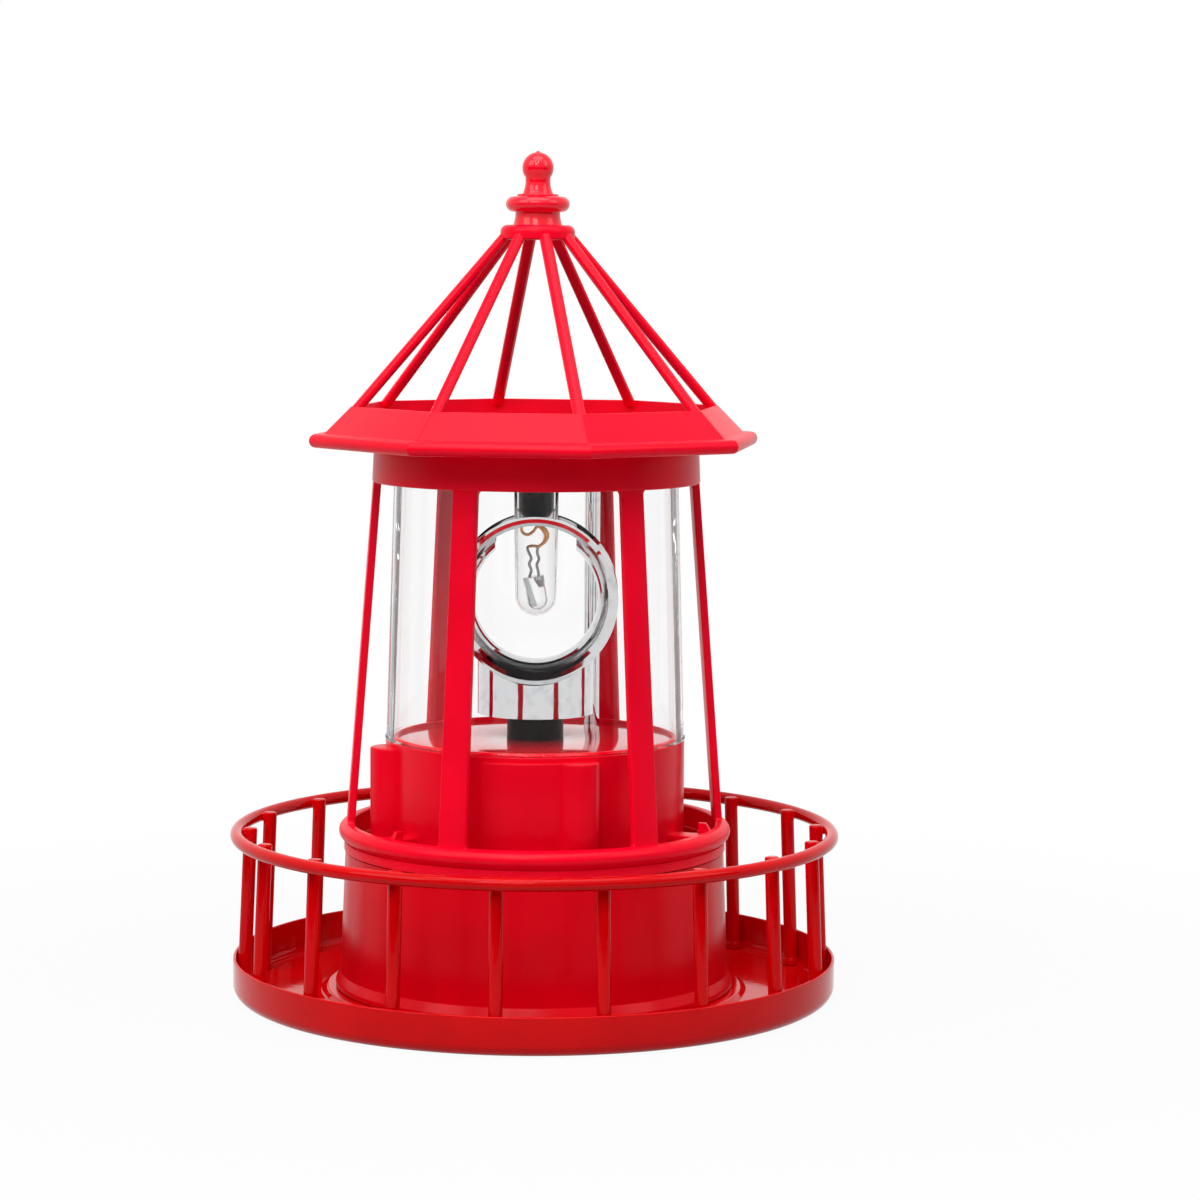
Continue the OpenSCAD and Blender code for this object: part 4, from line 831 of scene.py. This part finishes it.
cells, w = new_material("solar_cell")
along, across = w.along("X"), w.along("Y")
finger = w.maths("PINGPONG", across / finger_pitch, 0.5)
bus = w.maths("PINGPONG", along / bus_pitch + 0.25, 0.5)
gap = w.maths("PINGPONG", along / cell_pitch, 0.5)
grains = w.out("ShaderNodeTexVoronoi", 1, {"feature": "F1"}, {"Vector": w.place(), "Scale": 240.0})
silver = 1 - w.maths("MINIMUM", finger - 0.035, bus - 0.03).between(0.0, 0.02)
shade = w.out("ShaderNodeSeparateColor", 0, None, {"Color": grains})
silicon = shade.tint(linear(14, 22, 58), linear(30, 48, 104))
lined = (silver * 0.8).tint(silicon, linear(176, 180, 188))
show(w, w.out("ShaderNodeBsdfPrincipled", 0, None, {
    "Base Color": (1 - gap.between(0.012, 0.02)).tint(lined, linear(20, 20, 24)), "IOR": 1.5,
    "Roughness": 0.12 + shade * 0.06 + silver * 0.2, "Coat Weight": 0.6,
    "Metallic": silver * 0.7, "Normal": w.bump(silver, 0.02)}))
panel_outline = rounded([(0, panel_low), (panel_r, panel_low, 0.15), (panel_r, panel_high, 0.25),
                         (0, panel_high)])
panel = turned("solar_disc", panel_outline, 128)
dress(panel, "base", "solar_cell", cells, "solar_panel")

# Bulb, socket and diode
# A clear glass envelope hangs from a dark socket; the clear diode stands upright in it
# on two bent copper leads with round bows.
bulb_top, socket_low, socket_r, socket_cap_r = 130.55, 118.7, 4.4, 7.4
socket_outline = rounded([
    (0, socket_low), (3.4, socket_low, 0.3), (socket_r, 120.3, 0.3), (socket_r, bulb_top),
    (5.65, bulb_top), (5.65, 128.3, 0.15), (socket_cap_r, 128.3, 0.4), (socket_cap_r, tube_high, 0.15),
    (0, tube_high)])
socket = turned("socket_cup", socket_outline, 96)
dress(socket, "base", "black_plastic", black_plastic, "bulb_socket")

dome_r, glass_wall, bulb_low = 5.1, 0.55, 94.2
dome_c = (0, bulb_low + dome_r)
bulb_glass = clear("bulb_glass", 0.985, 0.84, 0.0, 1.08, 3.0, 0.01)
outside = arc(dome_c, dome_r, -90, 90 / 16, 17)
inside = arc(dome_c, dome_r - glass_wall, 0, -90 / 16, 17)
envelope = outside + [(5.6, 130.4), (5.5, 130.5), (5.15, 130.5), (5.05, 130.4)] + inside
bulb = turned("bulb_envelope", envelope, 96, 50)
dress(bulb, "base", "bulb_glass", bulb_glass, "bulb_glass")

led_r, led_dome_z, led_foot = 2.6, 7.1, 8.2
led_place = Vector((0.75, 0, 95.8)) * MM
led_tilt = Matrix.Rotation(math.radians(-10), 3, "Y")
resin = clear("led_resin", 0.96, 0.82, 0.02, 1.3, 1.5, 0.05)
dome = arc((0, led_r), led_r, -90, 90 / 12, 13)
flange = rounded([(led_r, led_dome_z), (led_r, led_foot, 0.15), (0, led_foot)])[1:]
bm = bmesh.new()
add_turned(bm, dome + flange, round_plan(48))
for v in bm.verts:
    v.co = led_tilt @ v.co + led_place
diode = to_object(bm, "diode_body", 50)
dress(diode, "base", "bulb_glass", resin, "led")

cup_x, post_half, post_thin = 1.2, 0.5, 0.25
cup = rounded([(0, 5.4), (0.5, 5.4, 0.1), (1.2, 7.3, 0.2), (1.2, 8.1, 0.1), (0, 8.1)])
bm = bmesh.new()
add_turned(bm, cup, round_plan(24), (cup_x, 0))
loft(bm, [[(x - post_half, -post_thin, h), (x + post_half, -post_thin, h), (x + post_half, post_thin, h),
           (x - post_half, post_thin, h)] for x, h in ((-0.7, 1.3), (-1.1, 4.8), (-1.5, 8.1))])
for v in bm.verts:
    v.co = led_tilt @ v.co + led_place
lead_frame = to_object(bm, "diode_lead_frame")
lead_frame.data.materials.append(steel)
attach(lead_frame, "base")

# Diode leads
# Two bare copper wires, tinned below their bows, that come down out of the socket.
# Each route is a list of given points.
lead_r, tinned_below, copper_above = 0.36, 0.1105, 0.1115
copper, w = new_material("copper_wire")
tarnish = w.noise(w.place(), 0.9)
drawn = w.noise(w.place(8, 8, 1), 0.4, 2.0)
bare = tarnish.tint(linear(206, 132, 66), linear(236, 176, 112))
show(w, w.out("ShaderNodeBsdfPrincipled", 0, None, {
    "Base Color": w.along("Z").between(tinned_below, copper_above).tint(linear(150, 148, 150), bare),
    "Metallic": 1.0, "Roughness": 0.22 + tarnish * 0.2, "Normal": w.bump(drawn, 0.01)}))


def add_wire(bm, knots, radius, sides=10, steps=6):
    """Sweeps a round wire along a smooth path through knots of (x, y, z) in mm."""
    knots = [Vector(k) for k in knots]
    ends = [2 * knots[0] - knots[1]] + knots + [2 * knots[-1] - knots[-2]]
    path = []
    for a, b, c, d in zip(ends, ends[1:], ends[2:], ends[3:]):
        for k in range(steps):
            t = k / steps
            path.append(0.5 * (2 * b + (c - a) * t + (2 * a - 5 * b + 4 * c - d) * t * t
                               + (3 * b - a - 3 * c + d) * t * t * t))
    path.append(knots[-1])
    side = Vector((0, 1, 0))
    loops = []
    for i, here in enumerate(path):
        way = (path[min(i + 1, len(path) - 1)] - path[max(i - 1, 0)]).normalized()
        side = (side - way * side.dot(way)).normalized()
        other = way.cross(side)
        loops.append([tuple(here + (side * math.cos(t) + other * math.sin(t)) * radius)
                      for t in [math.tau * k / sides for k in range(sides)]])
    loft(bm, loops)


right_lead = [
    (0.7, 0, 103.7), (0.5, 0.2, 105.4), (0.2, -0.1, 106.8), (0.7, 0, 108.2), (0.3, 0.1, 109.6),
    (0.4, 0, 110.8), (1.0, -0.1, 111.5), (2.3, -0.2, 112.5), (2.95, -0.3, 114.0), (2.3, -0.4, 115.5),
    (0.9, -0.4, 116.3), (0.4, -0.3, 117.4), (0.3, -0.3, 118.65)]
left_lead = [
    (-1.7, 0, 103.7), (-1.2, 0.1, 105.4), (-1.7, 0, 107.0), (-1.2, -0.2, 108.4), (-1.9, 0, 109.9),
    (-2.1, 0.3, 111.0), (-0.9, 0.8, 111.3), (0.6, 0.9, 111.2), (1.8, 0.8, 112.2), (2.2, 0.7, 113.9),
    (1.5, 0.6, 115.3), (0.3, 0.5, 116.1), (-0.7, 0.4, 114.9), (-2.0, 0.2, 114.1), (-3.2, 0, 114.5),
    (-3.7, 0, 115.6), (-3.2, 0, 117.2), (-2.2, 0, 118.65)]
bm = bmesh.new()
add_wire(bm, right_lead, lead_r)
add_wire(bm, left_lead, lead_r)
leads = to_object(bm, "diode_leads", 60)
dress(leads, "base", "copper_wire", copper, "led_leads")

# Loom
# The sleeved wires of the solar panel run down inside the wire tube. They keep their
# CAD shape and take a soft dark sleeve.
wire_sleeve = moulded("wire_sleeve", linear(40, 44, 50), 0.4, 0.5, 0.02)
keep(wire_sleeve, "conduit_wires")

# Cage
# One moulding: a beaded bottom ring with bayonet tabs, six flat legs with flared
# ends and a collar. It twists off the upper body.
ring_low, ring_in_r, ring_skirt_r, ring_bead_r = 36.3, 45.2, 47.4, 2.15
ring_bead_c = (46.55, 40.95)
collar_low, collar_high, collar_r, collar_in_r, collar_draft = 127.6, 136.3, 40.1, 38.3, 0.4
leg_rise, leg_foot_r, flare, leg_t, leg_count, leg_first = 88.82, 46.9, 1.4, 1.9, 6, -24
half_foot, half_top, foot_end, head_gap = 3.55, 3.15, 1.75, 2.2
tab_half, tab_in_r, tab_r, tab_low, tab_high = 5.45, 42.3, 46.4, 38.6, 40.7
stop_past, stop_half, stop_in_r, stop_r, stop_tip_r = 1.3, 0.6, 42.6, 47.0, 44.4
stop_low, stop_high = 38.9, 44.8

ring_outline = rounded([
    (ring_in_r, ring_low, 0.05), (ring_skirt_r, ring_low, 0.06), (ring_skirt_r, stop_low, 0.2)])
ring_outline += arc(ring_bead_c, ring_bead_r, -65, 155 / 20, 21) + [(45.5, 43.1), (ring_in_r, 42.8)]
collar_outline = rounded([
    (collar_in_r + collar_draft, collar_low, 0.4), (collar_r + collar_draft, collar_low, 0.5),
    (collar_r, collar_high, 0.2), (collar_in_r, collar_high, 0.2)])
leg_lean = math.atan2(leg_foot_r - collar_r, leg_rise)
leg_len = leg_rise / math.cos(leg_lean)
head_end = leg_len - head_gap / math.cos(leg_lean) + 0.4
edge_side = [(half_foot + flare, 0.0), (half_foot + flare, foot_end)]
edge_side += arc((half_foot + flare, foot_end + flare), flare, -105, -15, 6)
edge_side += arc((half_top + flare, head_end - flare), flare, 180, -15, 6)
edge_side += [(half_top + flare, head_end), (half_top + flare, leg_len)]
leg_plan = edge_side + [(-x, y) for x, y in edge_side[::-1]]
leg_foot = Vector((0, -leg_foot_r, ring_bead_c[1]))
up = Vector((0, math.sin(leg_lean), math.cos(leg_lean)))
out = Vector((0, -math.cos(leg_lean), math.sin(leg_lean)))


def on_leg(x, y, z):
    """A point of the leg's plan, y along the leg and z out of its face."""
    return tuple(leg_foot + Vector((x, 0, 0)) + up * y + out * z)


red_plastic = moulded("red_plastic", linear(242, 0, 38), 0.3, 0.7, 0.008)
bm = bmesh.new()
add_block(bm, leg_plan, -leg_t, 0, 0.4, 4, on_leg)
legs = ring_of("leg_ring", to_object(bm, "leg_pattern"), leg_count, leg_first, red_plastic)
bm = bmesh.new()
bm.from_mesh(legs.data)
bpy.data.objects.remove(legs)
add_turned(bm, ring_outline, round_plan(256))
add_turned(bm, collar_outline, round_plan(256))
stop_side = ((stop_in_r, stop_low), (stop_r, stop_low), (stop_r, tab_high), (stop_tip_r, stop_high),
             (stop_in_r, stop_high))
for i in range(lug_count):
    lug = lug_turn + 360 / lug_count * i
    tab = lug + tab_half - lug_half
    add_block(bm, sector(tab_in_r, tab_r, tab - tab_half, tab + tab_half, 6), tab_low, tab_high, 0.25)
    spin = Matrix.Rotation(math.radians(lug + lug_half + stop_past), 3, "Z")
    loft(bm, [[tuple(spin @ Vector((x, -r, z))) for r, z in stop_side] for x in (-stop_half, stop_half)])
cage = to_object(bm, "cage_moulding")
dress(cage, "cage", "red_plastic", red_plastic, "cage")

# Eave
# Eight sided roof skirt with a rounded lower edge, hollow below, moulded on a round
# seat that plugs into the collar.
roof_sides, roof_turn, roof_corner = 8, 14, 0.7
eave_r, edge_r, edge_z, skirt_in_r, skirt_floor, skirt_low = 55.1, 1.7, 138.0, 40.9, 137.9, 136.6
eave_top, eave_top_r, eave_top_in_r, lip_inner = 146.3, 46.4, 45.75, 47.35
plug_in_r, plug_r, seat_out_r, plug_low, seat_high = 36.65, 38.1, 41.5, 133.1, 138.2


def sided_plan(sides, first, corner, steps=3):
    """The plan of a many sided piece with small round corners; first is in degrees."""
    def plan(radius):
        spots = []
        for k in range(sides):
            middle = math.radians(first) + math.tau * k / sides
            inset = radius - corner / math.cos(math.pi / sides)
            for j in range(steps + 1):
                t = middle + math.pi / sides * (2 * j / steps - 1)
                spots.append((inset * math.sin(middle) + corner * math.sin(t),
                              -inset * math.cos(middle) - corner * math.cos(t)))
        return spots
    return plan


edge = arc((eave_r, edge_z), edge_r, -90, 15, 13)
slope = rounded([
    (eave_r, edge_z + edge_r), (53.1, 139.66, 0.8), (eave_top_r, eave_top, 0.3),
    (eave_top_in_r, eave_top, 0.2), (eave_top_in_r, skirt_floor), (skirt_in_r, skirt_floor)])[1:]
skirt_outline = [
    (skirt_in_r, skirt_low), (44.05, skirt_low), (lip_inner, 138.5), (lip_inner, 143.12), (50.82, 139.7),
    (52.9, 136.5), (53.4, collar_high)] + edge + slope
seat_outline = rounded([
    (plug_in_r, plug_low, 0.2), (plug_r, plug_low, 0.2), (plug_r, collar_high),
    (seat_out_r, collar_high, 0.2), (seat_out_r, seat_high, 0.2), (plug_in_r, seat_high, 0.2)])
bm = bmesh.new()
add_turned(bm, skirt_outline, sided_plan(roof_sides, roof_turn, roof_corner))
add_turned(bm, seat_outline, round_plan(160))
eave = to_object(bm, "eave_skirt", 25)
dress(eave, "cage", "red_plastic", red_plastic, "eave")

# Spire
# Eight flat ribs rise from the corners of the eave into a round hub that takes the
# finial's peg. One rib is drawn, nodes set out the ring.
rib_foot_r, rib_head_r, rib_half_deep, rib_half_wide, rib_low, rib_high = 44.4, 8.85, 1.2, 0.65, 144.75, 189.0
hub_low, hub_high, hub_r, hub_bore_r = 187, 190.6, 9.15, 2.45
rake = math.atan2(hub_low - eave_top, rib_foot_r - rib_head_r)
deep = rib_half_deep / math.sin(rake)
rib_middle = 1.45
bar = rounded([
    (-rib_half_wide, -deep, 0.2), (rib_half_wide, -deep, 0.2), (rib_middle, -0.35 * deep, 0.2),
    (rib_middle, 0.35 * deep, 0.2), (rib_half_wide, deep, 0.2), (-rib_half_wide, deep, 0.2),
    (-rib_middle, 0.35 * deep, 0.2), (-rib_middle, -0.35 * deep, 0.2)], 2)
hub_outline = rounded([(hub_bore_r, hub_low, 0.1), (hub_r, hub_low, 0.5), (hub_r, hub_high, 1.7),
                       (hub_bore_r, hub_high, 0.1)], 8)
bm = bmesh.new()
loft(bm, [[(x, y - (rib_foot_r - (z - eave_top) / math.tan(rake)), z) for x, y in bar]
          for z in (rib_low, rib_high)])
ribs = ring_of("rib_ring", to_object(bm, "rib_pattern", 20), roof_sides, roof_turn, red_plastic)
bm = bmesh.new()
bm.from_mesh(ribs.data)
bpy.data.objects.remove(ribs)
add_turned(bm, hub_outline, round_plan(96))
spire = to_object(bm, "spire_ribs")
dress(spire, "cage", "red_plastic", red_plastic, "spire")

# Finial
# Turned ball, stem and ring moulding in the same red plastic, pegged into the hub.
# It ends in a small point.
peg_low, peg_r, finial_high, curve_steps = 187.2, 2.4, 208.7, 10


def flared(radius, spread, low, rise):
    """A hollow curve that starts wide at its foot and runs out straight."""
    shares = [i / curve_steps for i in range(curve_steps + 1)]
    return [(radius + spread * (1 - share) ** 2, low + rise * share) for share in shares]


neck = flared(5.5, 0.55, hub_high, 3.2)
knop = arc((5.95, 195.7), 1.9, -90, 15, 13)
shoulder = rounded([(5.1, 197.6), (5.1, 198.15, 0.2), (4.0, 198.15)])[:-1]
stem = flared(3.05, 0.75, 198.15, 3.16)
ball = arc((0, 204.53), 3.85, -37, 9, 14)
peg = rounded([(0, peg_low), (peg_r, peg_low, 0.3), (peg_r, hub_high)])
finial_outline = peg + neck + knop + shoulder + stem + ball + [(0.3, 208.6), (0, finial_high)]
finial = turned("finial_turning", finial_outline, 96, 40)
turned_red = moulded("turned_red", linear(240, 0, 38), 0.27, 2.5, 0.002, 0.5)
dress(finial, "cage", "red_plastic", turned_red, "finial")
